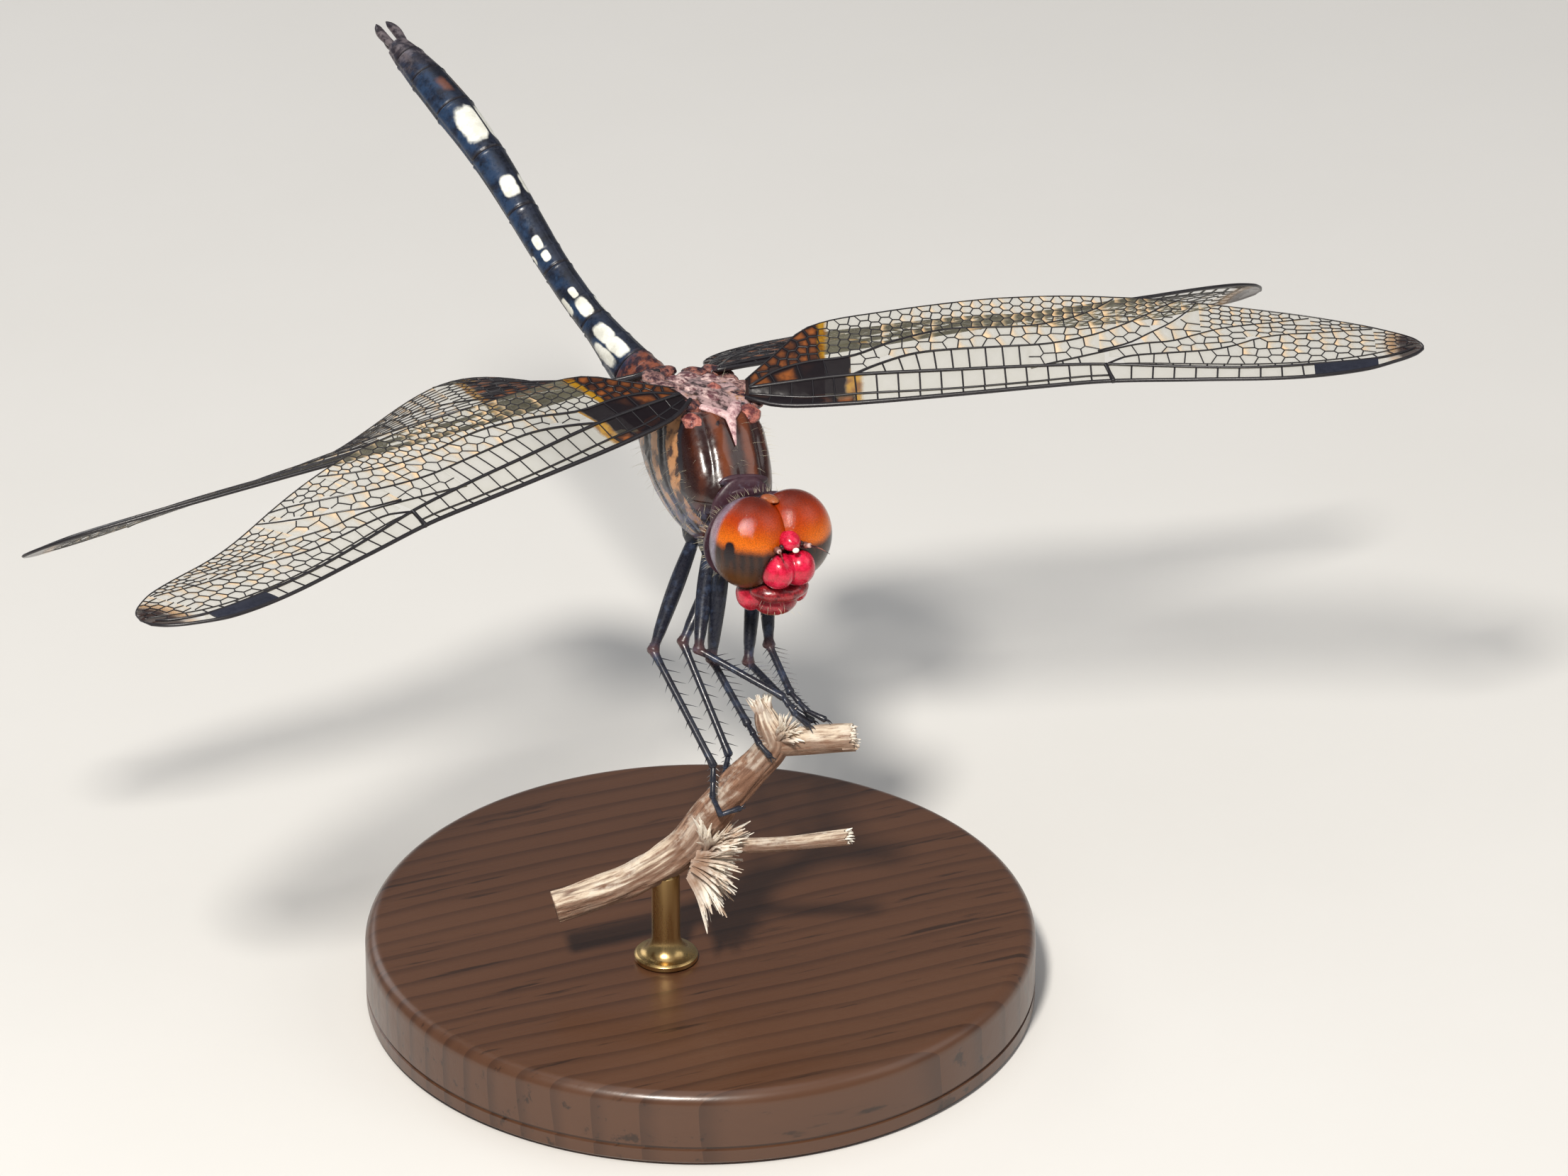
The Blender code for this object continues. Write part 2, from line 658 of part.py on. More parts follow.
def in_thorax(spot):
    """Whether a spot about the wing hinge is inside the thorax or nearly touches it."""
    x, y, z = Matrix.Rotation(-BODY_ROLL, 3, "Y") @ spot
    top, bottom, half, square = blend(THORAX_STATIONS, y)
    middle, tall = (top + bottom) / 2, (top - bottom) / 2 + GAP
    power = square if z > middle else 1.9
    return abs(x / (half + GAP)) ** power + abs((z - middle) / tall) ** power < 1


def hip_seat(hip):
    """The last place on the way from the hip to the thorax where the leg still clears it."""
    heading = (Matrix.Rotation(BODY_ROLL, 3, "Y") @ Vector((0, hip.y + 0.3, -5.0)) - hip).normalized()
    across, up = side_frame(heading)
    rim = [across * math.cos(i) + up * math.sin(i) for i in range(12)]
    low, high = 0.0, 3.0
    for _ in range(20):
        middle = (low + high) / 2
        place = hip + heading * middle
        ring = [place + out * HIP_RADIUS for out in rim]
        if any(map(in_thorax, [*ring, place + heading * HIP_DOME])):
            high = middle
        else:
            low = middle
    return hip + heading * low


HIP_RADIUS, HIP_DOME = 0.5, 0.15
for name, (hip, knee, ankle, foot) in LEGS.items():
    hip, knee, ankle = Vector(hip), Vector(knee), on_bark(Vector(ankle))
    foot = [on_bark(Vector(p)) for p in foot]
    bend, turn = (hip, knee, ankle), (knee, ankle, foot[0])
    path, radii, seat = [hip, hip.lerp(knee, 0.5), knee], FEMUR_RADII, hip_seat(hip)
    if (seat - hip).length > 0.15:
        path, radii = [seat, *path], (HIP_RADIUS, *radii)
    points, faces = tube(
        path,
        radii,
        cut_end=joint_plane(*bend, -GAP / 2),
        dome=(HIP_DOME, 0.0),
    )
    add_solid(f"{name}_femur", points, faces, LEG)
    points, faces = tube(
        [knee, knee.lerp(ankle, 0.5), ankle],
        TIBIA_RADII,
        cut_start=joint_plane(*bend, GAP / 2),
        cut_end=joint_plane(*turn, -GAP / 2),
    )
    add_solid(f"{name}_tibia", points, faces, LEG)
    points, faces = tube(
        [ankle, *foot],
        [TARSUS_RADII[0]] + [TARSUS_RADII[1]] * len(foot),
        cut_start=joint_plane(*turn, GAP / 2),
        dome=(0.0, 0.15),
        sides=7,
    )
    add_solid(f"{name}_tarsus", points, faces, LEG)

# ---------------------------------------------------------------- stand
def disc_ring(radius, height, at=(0.0, 0.0), sides=48):
    return [
        (
            at[0] + radius * math.cos(2 * math.pi * i / sides),
            at[1] + radius * math.sin(2 * math.pi * i / sides),
            height,
        )
        for i in range(sides)
    ]


points, faces = loft(
    [
        disc_ring(STAND_RADIUS - 0.3, 0.0),
        disc_ring(STAND_RADIUS, 0.3),
        disc_ring(STAND_RADIUS, STAND_THICKNESS - STAND_BEVEL),
        disc_ring(STAND_RADIUS - STAND_BEVEL * 0.3, STAND_THICKNESS - STAND_BEVEL * 0.3),
        disc_ring(STAND_RADIUS - STAND_BEVEL, STAND_THICKNESS),
    ]
)
add_solid("stand_base", points, faces, WOOD, STAND)

rod_seat = Vector(STEM[5][0]).lerp(Vector(STEM[6][0]), 0.5)
rod_at = WING_HINGE + rod_seat
foot_height = STAND_THICKNESS + GAP
rod_rings = [
    disc_ring(radius, foot_height + rise, rod_at, 16)
    for radius, rise in (
        (ROD_FOOT_RADIUS, 0.0),
        (ROD_FOOT_RADIUS, 0.35),
        (ROD_RADIUS * 1.15, ROD_FOOT_HEIGHT),
        (ROD_RADIUS, ROD_FOOT_HEIGHT + 0.4),
    )
]
down = Vector((0, 0, -1))
for share in (1.0, 0.5):
    ring = disc_ring(ROD_RADIUS * share, rod_at.z, rod_at, 16)
    rod_rings.append([seated(Vector(p) - WING_HINGE, down) + WING_HINGE for p in ring])
rod_top = seated(rod_seat, down) + WING_HINGE
points, faces = loft(rod_rings, end=rod_top)
add_solid("stand_rod", points, faces, BRASS, STAND)
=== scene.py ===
"""Dragonfly on a twig: skins, wings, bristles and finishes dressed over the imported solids.

Lengths are in millimetres and become metres as each mesh is made.
+X is the insect's left, -Y is ahead of it and +Z is up.
"""

import math
import random
from math import cos, pi, sin

import bmesh
import bpy
from mathutils import Matrix, Vector, noise
from mathutils.geometry import delaunay_2d_cdt


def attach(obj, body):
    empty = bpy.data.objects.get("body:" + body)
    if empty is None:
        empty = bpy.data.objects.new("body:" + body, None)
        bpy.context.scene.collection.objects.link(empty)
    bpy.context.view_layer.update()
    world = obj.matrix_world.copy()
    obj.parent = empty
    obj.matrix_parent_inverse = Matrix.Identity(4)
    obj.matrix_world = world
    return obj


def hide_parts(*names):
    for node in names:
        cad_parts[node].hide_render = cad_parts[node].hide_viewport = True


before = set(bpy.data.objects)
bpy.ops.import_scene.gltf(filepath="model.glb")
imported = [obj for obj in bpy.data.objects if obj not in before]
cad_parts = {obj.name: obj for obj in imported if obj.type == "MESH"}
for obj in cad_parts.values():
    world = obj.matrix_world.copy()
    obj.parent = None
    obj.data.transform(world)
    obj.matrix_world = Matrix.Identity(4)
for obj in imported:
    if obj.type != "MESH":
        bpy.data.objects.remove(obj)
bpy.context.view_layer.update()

MM = 0.001
WING_HINGE = Vector((4.0, 8.0, 34.0))
BODY_ROLL = math.radians(9.0)
HEAD_CENTRE = Vector((-0.3, -9.5, -5.0))
HEAD_TURN, HEAD_ROLL = math.radians(5.0), math.radians(3.5)

HINGE = Matrix.Translation(WING_HINGE * MM)
BODY = HINGE @ Matrix.Rotation(BODY_ROLL, 4, "Y")
HEAD = (
    HINGE
    @ Matrix.Translation(HEAD_CENTRE * MM)
    @ Matrix.Rotation(HEAD_TURN, 4, "Z")
    @ Matrix.Rotation(HEAD_ROLL, 4, "Y")
)
STAND = Matrix.Identity(4)


# ---------------------------------------------------------------- numbers along a line
def blend(keys, at):
    """Smooth values at `at` through (place, value, ...) keys."""
    if at <= keys[0][0]:
        return keys[0][1:]
    if at >= keys[-1][0]:
        return keys[-1][1:]
    k = max(i for i in range(len(keys) - 1) if keys[i][0] <= at)
    before, a, b, after = keys[max(k - 1, 0)], keys[k], keys[k + 1], keys[min(k + 2, len(keys) - 1)]
    span = b[0] - a[0]
    t = (at - a[0]) / span
    values = []
    for i in range(1, len(a)):
        slope_a = (b[i] - before[i]) / (b[0] - before[0]) * span
        slope_b = (after[i] - a[i]) / (after[0] - a[0]) * span
        values.append(
            a[i] * (2 * t**3 - 3 * t**2 + 1)
            + slope_a * (t**3 - 2 * t**2 + t)
            + b[i] * (3 * t**2 - 2 * t**3)
            + slope_b * (t**3 - t**2)
        )
    return tuple(values)


class Table:
    """A smooth line of numbers, worked out once and read quickly."""

    def __init__(self, keys, steps=400):
        self.first, self.last, self.steps = keys[0][0], keys[-1][0], steps
        self.step = (self.last - self.first) / steps
        self.rows = [blend(keys, self.first + self.step * i) for i in range(steps + 1)]

    def at(self, place):
        """The values at a place, held at both ends."""
        spot = min(max((place - self.first) / self.step, 0.0), self.steps - 1e-6)
        i = int(spot)
        t = spot - i
        return [a + (b - a) * t for a, b in zip(self.rows[i], self.rows[i + 1])]


def smooth_path(keys, steps):
    """Evenly spread points on a smooth curve through the keys, with any further values beside them."""
    reach = [0.0]
    for a, b in zip(keys, keys[1:]):
        reach.append(reach[-1] + (Vector(b[:3]) - Vector(a[:3])).length)
    table = Table([(d, *key) for d, key in zip(reach, keys)])
    return [table.at(reach[-1] * i / steps) for i in range(steps + 1)]


def soft_step(low, high, value):
    """Smoothly from 0 at `low` to 1 at `high`."""
    t = min(max((value - low) / (high - low), 0.0), 1.0)
    return t * t * (3 - 2 * t)


def bell(off, width):
    """1 in the middle of a bump or groove, falling smoothly to 0 about two widths away."""
    return math.exp(-((off / width) ** 2))


def lumpy(spot, size, seed=0.0):
    """Smooth noise from -1 to 1 with lumps about `size` millimetres across."""
    return noise.noise(Vector(spot) / size + Vector((seed, seed * 1.7, seed * 0.3)))


def circle(count):
    """Evenly spread turns once round."""
    return [2 * pi * i / count for i in range(count)]


def side_frame(along):
    """Two directions square to a heading: level across it, and up."""
    across = along.cross(Vector((0, 0, 1)))
    across = across.normalized() if across.length > 1e-4 else Vector((1, 0, 0))
    return across, across.cross(along).normalized()


# ---------------------------------------------------------------- making meshes
def placed(name, data):
    """A new object of the scene."""
    made = bpy.data.objects.new(name, data)
    bpy.context.scene.collection.objects.link(made)
    return made


def close_marks(marks):
    """Gives the two end points that a loft adds the marks of the first and the last point."""
    for line in marks.values():
        line.extend((line[0], line[-1]))
    return marks


class Bundle:
    """Forms gathered into one mesh, each point with its named marks."""

    def __init__(self):
        self.points, self.faces, self.marks = [], [], {}

    def add(self, points, faces, **marks):
        """Adds a form; each mark is one value for all its points or a list of them."""
        first = len(self.points)
        self.points.extend(points)
        self.faces.extend(tuple(first + i for i in face) for face in faces)
        for name, values in marks.items():
            line = self.marks.setdefault(name, [])
            line.extend([0.0] * (first - len(line)))
            line.extend(values if isinstance(values, list) else [values] * len(points))
        return self

    def piece(self, name, look, slot, at=HINGE, replaces=(), sharp=60.0):
        """Makes the mesh and its object, which rides on the one body."""
        mesh = bpy.data.meshes.new(name)
        mesh.from_pydata([Vector(p) * MM for p in self.points], [], self.faces)
        for mark, values in self.marks.items():
            values = values + [0.0] * (len(self.points) - len(values))
            kind = "FLOAT" if isinstance(values[0], float) else "FLOAT_VECTOR"
            layer = mesh.attributes.new(mark, kind, "POINT")
            if kind == "FLOAT":
                layer.data.foreach_set("value", values)
            else:
                layer.data.foreach_set("vector", [c for value in values for c in value])
        mesh.validate()
        mesh.shade_smooth()
        if sharp < 180:
            mesh.set_sharp_from_angle(angle=math.radians(sharp))
        mesh.materials.append(look)
        made = placed(name, mesh)
        made.matrix_world = at
        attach(made, "root")
        if replaces:
            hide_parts(*replaces)
        return made


def loft(rings, start=None, end=None, open_ends=False):
    """Points and faces of a skin over equal closed rings."""
    count = len(rings[0])
    points = [Vector(p) for ring in rings for p in ring]
    faces = []
    for k in range(len(rings) - 1):
        for i in range(count):
            j = (i + 1) % count
            a, b = k * count, (k + 1) * count
            faces.append((a + i, b + i, b + j, a + j))
    if not open_ends:
        for ring, tip, base in ((rings[0], start, 0), (rings[-1], end, (len(rings) - 1) * count)):
            hub = len(points)
            middle = sum((Vector(p) for p in ring), Vector()) / count
            points.append(middle if tip is None else Vector(tip))
            for i in range(count):
                j = (i + 1) % count
                face = (hub, base + i, base + j)
                faces.append(face if base == 0 else face[::-1])
    return points, faces


def tube(path, radii, sides=8, flat=1.0, dome=(0.0, 0.0), open_ends=False):
    """A round bar along a path, its ends rounded by the two domes."""
    path = [Vector(p[:3]) for p in path]
    if not isinstance(radii, (list, tuple)):
        radii = [radii] * len(path)
    heading = (path[1] - path[0]).normalized()
    across, _ = side_frame(heading)
    rings, last = [], len(path) - 1
    for i, centre in enumerate(path):
        heading = (path[min(i + 1, last)] - path[max(i - 1, 0)]).normalized()
        across = (across - heading * across.dot(heading)).normalized()
        up = across.cross(heading)
        ring = []
        for turn in circle(sides):
            ring.append(centre + (across * cos(turn) + up * sin(turn) * flat) * radii[i])
        rings.append(ring)
    tips = [None, None]
    for which, bulge in enumerate(dome):
        if bulge:
            end = -1 if which else 0
            out = (path[-1] - path[-2] if which else path[0] - path[1]).normalized()
            caps = []
            for lift, shrink in ((0.5, 0.87), (0.87, 0.5)):
                caps.append([path[end] + (p - path[end]) * shrink + out * bulge * lift for p in rings[end]])
            tips[which] = path[end] + out * bulge
            rings = rings + caps if which else caps[::-1] + rings
    return loft(rings, *tips, open_ends=open_ends)


def pebble(centre, radii, turn=(0, 0, 0), around=20, down=12, rough=0.0, seed=0.0):
    """A rounded lump: an ellipsoid, turned and made a little uneven."""
    about_x, about_y, about_z = (Matrix.Rotation(angle, 3, axis) for angle, axis in zip(turn, "XYZ"))
    turned = about_z @ about_y @ about_x
    rings = []
    for k in range(1, down):
        tilt = pi * k / down
        ring = []
        for i in range(around):
            spin = -2 * pi * i / around
            ray = Vector((sin(tilt) * cos(spin), sin(tilt) * sin(spin), cos(tilt)))
            swell = 1 + rough * lumpy(ray, 0.6, seed)
            ring.append(Vector(centre) + turned @ Vector(c * r * swell for c, r in zip(ray, radii)))
        rings.append(ring)
    ends = [Vector(centre) + turned @ Vector((0, 0, s * radii[2])) for s in (1, -1)]
    return loft(rings, *ends)


def bristle(root, heading, length, radius, bend=0.2, sides=4, steps=3):
    """A tapering hair that bows a little downwards."""
    heading = Vector(heading).normalized()
    path, radii = [], []
    for i in range(steps + 1):
        t = i / steps
        path.append(Vector(root) + heading * length * t + Vector((0, 0, -1)) * bend * length * t * t)
        radii.append(radius * (1 - 0.9 * t))
    return tube(path, radii, sides)


# ---------------------------------------------------------------- shader recipes
GRAIN_RANGE = (0.3, 0.7)  # the part of a grain's values that most of it falls in
OVAL_POWER = 3.4  # the outline of a blotch: 2 is an ellipse, more is squarer


class Recipe:
    """The nodes of one material or group, written as calls."""

    def __init__(self, tree):
        self.tree = tree

    def node(self, kind, feeds=None, **settings):
        """A node, its inputs fed by other nodes or set to a value."""
        made = self.tree.nodes.new("ShaderNode" + kind)
        for key, value in settings.items():
            setattr(made, key, value)
        for key, value in (feeds or {}).items():
            socket = made.inputs[key]
            if isinstance(value, bpy.types.NodeSocket):
                self.tree.links.new(value, socket)
            elif socket.type == "RGBA" and len(value) == 3:
                socket.default_value = (*value, 1.0)
            else:
                socket.default_value = value
        return made

    def mark(self, name, output="Fac"):
        """What the mesh's points carry under a name."""
        return self.node("Attribute", attribute_name=name).outputs[output]

    def here(self):
        """The place on the object, in metres."""
        return self.node("TexCoord").outputs["Object"]

    def calc(self, operation, a, b=0.0):
        return self.node("Math", {0: a, 1: b}, operation=operation).outputs[0]

    def times(self, a, b):
        return self.calc("MULTIPLY", a, b)

    def plus(self, a, b):
        return self.calc("ADD", a, b)

    def less(self, a, b):
        return self.calc("SUBTRACT", a, b)

    def most(self, a, b):
        return self.calc("MAXIMUM", a, b)

    def vector(self, operation, a, b=(0, 0, 0)):
        return self.node("VectorMath", {0: a, 1: b}, operation=operation).outputs[0]

    def steps(self, value, low, high, out=(0.0, 1.0)):
        """Smoothly from out[0] at `low` to out[1] at `high`."""
        feeds = {0: value, 1: low, 2: high, 3: out[0], 4: out[1]}
        return self.node("MapRange", feeds, interpolation_type="SMOOTHSTEP").outputs[0]

    def rough(self, grain, smoothest, roughest):
        """Roughness that follows a grain's tone or height."""
        return self.steps(grain, *GRAIN_RANGE, (smoothest, roughest))

    def mix(self, factor, a, b):
        """Colour a, turning into b as the factor rises."""
        made = self.tree.nodes.new("ShaderNodeMix")
        made.data_type = "RGBA"
        for socket, value in ((made.inputs[0], factor), (made.inputs[6], a), (made.inputs[7], b)):
            if isinstance(value, bpy.types.NodeSocket):
                self.tree.links.new(value, socket)
            elif socket.type == "RGBA":
                socket.default_value = (*value[:3], 1.0)
            else:
                socket.default_value = value
        return made.outputs[2]

    def noise(self, place, scale, detail=3.0, rough=0.55, warp=0.0):
        feeds = {"Vector": place, "Scale": scale, "Detail": detail, "Roughness": rough, "Distortion": warp}
        return self.node("TexNoise", feeds).outputs[0]

    def group(self, tree, feeds):
        made = self.tree.nodes.new("ShaderNodeGroup")
        made.node_tree = tree
        for key, value in feeds.items():
            if isinstance(value, bpy.types.NodeSocket):
                self.tree.links.new(value, made.inputs[key])
            else:
                made.inputs[key].default_value = value
        return made.outputs

    def bump(self, height, strength, depth, under=None):
        feeds = {"Strength": strength, "Distance": depth * MM, "Height": height}
        if under is not None:
            feeds["Normal"] = under
        return self.node("Bump", feeds).outputs[0]


def new_group(name, inputs, outputs):
    """An empty node group with its sockets; returns it, its recipe, its inputs and its end."""
    tree = bpy.data.node_groups.new(name, "ShaderNodeTree")
    for label, kind, value in inputs:
        socket = tree.interface.new_socket(label, in_out="INPUT", socket_type="NodeSocket" + kind)
        socket.default_value = value
    for label, kind in outputs:
        tree.interface.new_socket(label, in_out="OUTPUT", socket_type="NodeSocket" + kind)
    ins, outs = tree.nodes.new("NodeGroupInput").outputs, tree.nodes.new("NodeGroupOutput").inputs
    return tree, Recipe(tree), ins, outs


def finish(name, recipe_of, roughness=0.5, **shine):
    """A material: `recipe_of` wires its nodes and returns what feeds the shader."""
    made = bpy.data.materials.new(name)
    made.use_nodes = True
    shader = made.node_tree.nodes["Principled BSDF"]
    shader.inputs["Roughness"].default_value = roughness
    for socket, value in shine.items():
        shader.inputs[socket.replace("_", " ")].default_value = value
    for socket, value in recipe_of(Recipe(made.node_tree)).items():
        made.node_tree.links.new(value, shader.inputs[socket.replace("_", " ")])
    return made


# ---------------------------------------------------------------- effects shared by the finishes
def fine_grain():
    """Uneven tone and pitted height at one size, for horn, bark and wood alike."""
    tree, group, ins, outs = new_group(
        "fine grain",
        [("Place", "Vector", (0, 0, 0)), ("Size", "Float", 4000.0), ("Stretch", "Vector", (1, 1, 1))],
        [("Tone", "Float"), ("Height", "Float")],
    )
    place = group.vector("MULTIPLY", ins["Place"], ins["Stretch"])
    broad = group.noise(place, group.times(ins["Size"], 0.18), 2.0)
    fine = group.noise(place, ins["Size"], 4.0, 0.6)
    tone = group.plus(group.times(broad, 0.65), group.times(fine, 0.35))
    group.tree.links.new(tone, outs["Tone"])
    group.tree.links.new(fine, outs["Height"])
    return tree


def blotch():
    """An oval mark with a wavy edge about one spot of an unrolled skin."""
    tree, group, ins, outs = new_group(
        "blotch",
        [
            ("Place", "Vector", (0, 0, 0)),
            ("Middle", "Vector", (0, 0, 0)),
            ("Reach", "Vector", (1, 1, 1)),
            ("Wave", "Float", 0.15),
            ("Soft", "Float", 0.12),
        ],
        [("Mask", "Float")],
    )
    off = group.vector("DIVIDE", group.vector("SUBTRACT", ins["Place"], ins["Middle"]), ins["Reach"])
    parts = group.node("SeparateXYZ", {0: off})
    long, wide = (group.calc("POWER", group.calc("ABSOLUTE", parts.outputs[i]), OVAL_POWER) for i in (0, 1))
    spread = group.calc("POWER", group.plus(long, wide), 1 / OVAL_POWER)
    wobble = group.less(group.noise(ins["Place"], 1.7, 2.0), 0.5)
    edge = group.plus(spread, group.times(wobble, ins["Wave"]))
    low, high = group.less(1.0, ins["Soft"]), group.plus(1.0, ins["Soft"])
    group.tree.links.new(group.steps(edge, low, high, (1.0, 0.0)), outs["Mask"])
    return tree


def bloom():
    """Patchy waxy bloom that dulls dark horn with blue grey; on the abdomen and the legs it stands for a
    painted blue sheen.
    """
    tree, group, ins, outs = new_group(
        "waxy bloom",
        [("Place", "Vector", (0, 0, 0)), ("Cover", "Float", 0.3), ("Size", "Float", 1500.0)],
        [("Mask", "Float")],
    )
    patches = group.noise(ins["Place"], ins["Size"], 4.0, 0.65)
    low = group.less(0.85, group.times(ins["Cover"], 0.6))
    group.tree.links.new(group.steps(patches, low, group.plus(low, 0.25)), outs["Mask"])
    return tree


def facets():
    """Domed facets that spread a highlight: the surface normal leans away from each cell's middle."""
    tree, group, ins, outs = new_group(
        "domed facets",
        [("Place", "Vector", (0, 0, 0)), ("Scale", "Float", 26000.0), ("Lean", "Float", 12000.0)],
        [("Tone", "Float"), ("Normal", "Vector")],
    )
    cells = group.node("TexVoronoi", {"Vector": ins["Place"], "Scale": ins["Scale"]}, feature="F1")
    off = group.vector("SUBTRACT", ins["Place"], cells.outputs["Position"])
    lean = group.node("VectorMath", {0: off, "Scale": ins["Lean"]}, operation="SCALE").outputs[0]
    straight = group.node("NewGeometry").outputs["Normal"]
    leant = group.vector("NORMALIZE", group.vector("ADD", straight, lean))
    group.tree.links.new(cells.outputs["Distance"], outs["Tone"])
    group.tree.links.new(leant, outs["Normal"])
    return tree


GRAIN, BLOTCH, BLOOM, FACETS = fine_grain(), blotch(), bloom(), facets()


def grain(look, size, stretch=(1, 1, 1)):
    """The tone and the height of the fine grain."""
    outputs = look.group(GRAIN, {"Place": look.here(), "Size": size, "Stretch": stretch})
    return outputs["Tone"], outputs["Height"]


def oval(look, place, middle, reach, wave, soft):
    """The mask of one blotch, its middle and half lengths as (along, across)."""
    feeds = {"Place": place, "Middle": (*middle, 0), "Reach": (*reach, 1), "Wave": wave, "Soft": soft}
    return look.group(BLOTCH, feeds)["Mask"]


def surface(colour, normal, rough):
    """What feeds the shader of an opaque finish."""
    return {"Base_Color": colour, "Normal": normal, "Roughness": rough}


def bloom_and_sheen_mask(look, cover, size):
    """The mask of the waxy bloom, which on the abdomen and the legs is a painted sheen."""
    return look.group(BLOOM, {"Place": look.here(), "Cover": cover, "Size": size})["Mask"]


# a dark oval mark on the right eye, its middle and half lengths as (round, up)
DARK_OVAL_PLACE, DARK_OVAL_REACH = (2.3, 0.3), (0.3, 0.55)


# ---------------------------------------------------------------- finishes
def eye_finish(look):
    """Red brown above with an amber glow, near black below, a violet rim behind, fine facets."""
    place = look.here()
    level, side = look.mark("level"), look.mark("side")
    cloud = look.less(look.noise(place, 700.0, 3.0), 0.5)
    height = look.plus(level, look.times(cloud, 0.5))
    glow = look.times(look.steps(height, 1.5, 0.25), look.steps(side, -1.1, 0.6, (0.35, 1.0)))
    upper = look.mix(look.steps(height, 2.5, 1.2), (0.085, 0.008, 0.003), (0.44, 0.042, 0.003))
    upper = look.mix(glow, upper, (0.76, 0.16, 0.006))
    feeds = {"Vector": look.mark("turned", "Vector"), "Scale": 0.62, "Distortion": 3.0, "Detail": 2.0}
    bars = look.node("TexWave", feeds).outputs[1]
    dark = look.mix(look.times(bars, 0.4), (0.009, 0.003, 0.002), (0.09, 0.026, 0.006))
    amber_foot = look.times(look.steps(level, -0.9, -2.3), look.steps(side, -0.4, 1.2))
    dark = look.mix(look.times(amber_foot, 0.7), dark, (0.2, 0.08, 0.02))
    colour = look.mix(look.steps(height, 0.25, -0.35), upper, dark)
    rear = look.plus(look.mark("rear"), look.times(cloud, 0.3))
    rear = look.plus(rear, look.times(side, 0.3))
    rim = look.mix(look.noise(place, 2500.0, 2.0), (0.13, 0.1, 0.16), (0.42, 0.38, 0.5))
    colour = look.mix(look.times(look.steps(rear, 0.42, 0.8), 0.85), colour, rim)
    # the dark oval mark on the right eye
    dark_oval = oval(look, look.mark("turned", "Vector"), DARK_OVAL_PLACE, DARK_OVAL_REACH, 0.5, 0.2)
    dark_oval = look.times(dark_oval, look.mark("scarred"))
    colour = look.mix(dark_oval, colour, (0.004, 0.003, 0.006))
    domes = look.group(FACETS, {"Place": place, "Scale": 15000.0, "Lean": 5000.0})
    colour = look.mix(look.steps(domes["Tone"], 0.35, 0.6, (0.0, 0.3)), colour, (0.03, 0.004, 0.002))
    return {"Base_Color": colour, "Normal": domes["Normal"]}


def face_finish(look):
    """Crimson brow over a rust coloured mouth, pitted and glossy, with painted shade where its parts meet.
    """
    brow, lip, crease = look.mark("brow"), look.mark("lip"), look.mark("crease")
    tone, height = grain(look, 9000.0)
    crimson = look.mix(look.steps(tone, 0.35, 0.65), (0.42, 0.002, 0.02), (0.8, 0.012, 0.07))
    rust = look.mix(look.steps(tone, 0.35, 0.65), (0.07, 0.006, 0.008), (0.34, 0.02, 0.022))
    colour = look.mix(brow, rust, crimson)
    colour = look.mix(look.times(lip, 0.8), colour, (0.42, 0.17, 0.04))
    # painted shade: near black where the face's lumps meet and along the eyes
    colour = look.mix(crease, colour, (0.02, 0.004, 0.006))
    feeds = {"Vector": look.here(), "Scale": 7500.0}
    pits = look.node("TexVoronoi", feeds, feature="SMOOTH_F1").outputs[0]
    normal = look.bump(pits, 0.25, 0.03)
    rough = look.rough(height, 0.2, 0.34)
    return surface(colour, normal, rough)


def head_dark_finish(look):
    """Near black horn under grey dust, for the back of the head, the neck and the collar."""
    tone, height = grain(look, 6000.0)
    dust_and_sheen = bloom_and_sheen_mask(look, 0.55, 1800.0)
    colour = look.mix(tone, (0.012, 0.006, 0.012), (0.09, 0.035, 0.05))
    colour = look.mix(look.times(dust_and_sheen, 0.5), colour, (0.2, 0.2, 0.27))
    return surface(colour, look.bump(height, 0.35, 0.03), look.rough(height, 0.3, 0.5))


def thorax_finish(look):
    """Glossy chestnut in front, tan patches between black slanting bands on the flanks, dusty below."""
    tone, height = grain(look, 3500.0)
    place = look.here()
    patches = look.noise(place, 1100.0, 3.0, 0.6)
    uneven = look.less(patches, 0.5)
    glow = look.plus(look.mark("glow"), look.times(uneven, 0.7))
    front = look.mix(look.steps(glow, 0.1, 1.1), (0.022, 0.006, 0.005), (0.15, 0.036, 0.01))
    front = look.mix(look.steps(tone, 0.42, 0.3), front, (0.014, 0.005, 0.006))
    tan = look.mix(look.steps(patches, 0.4, 0.58), (0.045, 0.017, 0.012), (0.5, 0.24, 0.1))
    band = look.plus(look.mark("stripe"), look.times(uneven, 0.9))
    side = look.mix(look.steps(band, 0.12, -0.06), tan, (0.01, 0.008, 0.014))
    colour = look.mix(look.mark("flank"), front, side)
    dust_and_sheen = bloom_and_sheen_mask(look, 0.8, 1300.0)
    dust_and_sheen = look.times(dust_and_sheen, look.mark("low"))
    colour = look.mix(look.times(dust_and_sheen, 0.75), colour, (0.17, 0.2, 0.34))
    wax = look.steps(look.noise(place, 2000.0, 3.0, 0.65), 0.36, 0.6)
    wax = look.times(wax, look.mark("pale"))
    colour = look.mix(wax, colour, (0.5, 0.33, 0.33))
    colour = look.mix(look.mark("suture"), colour, (0.008, 0.006, 0.01))
    rough = look.plus(look.rough(height, 0.16, 0.3), look.times(dust_and_sheen, 0.3))
    rough = look.plus(rough, look.times(look.mark("pale"), 0.25))
    rough = look.plus(rough, look.times(look.mark("flank"), 0.22))
    return surface(colour, look.bump(height, 0.35, 0.03), rough)


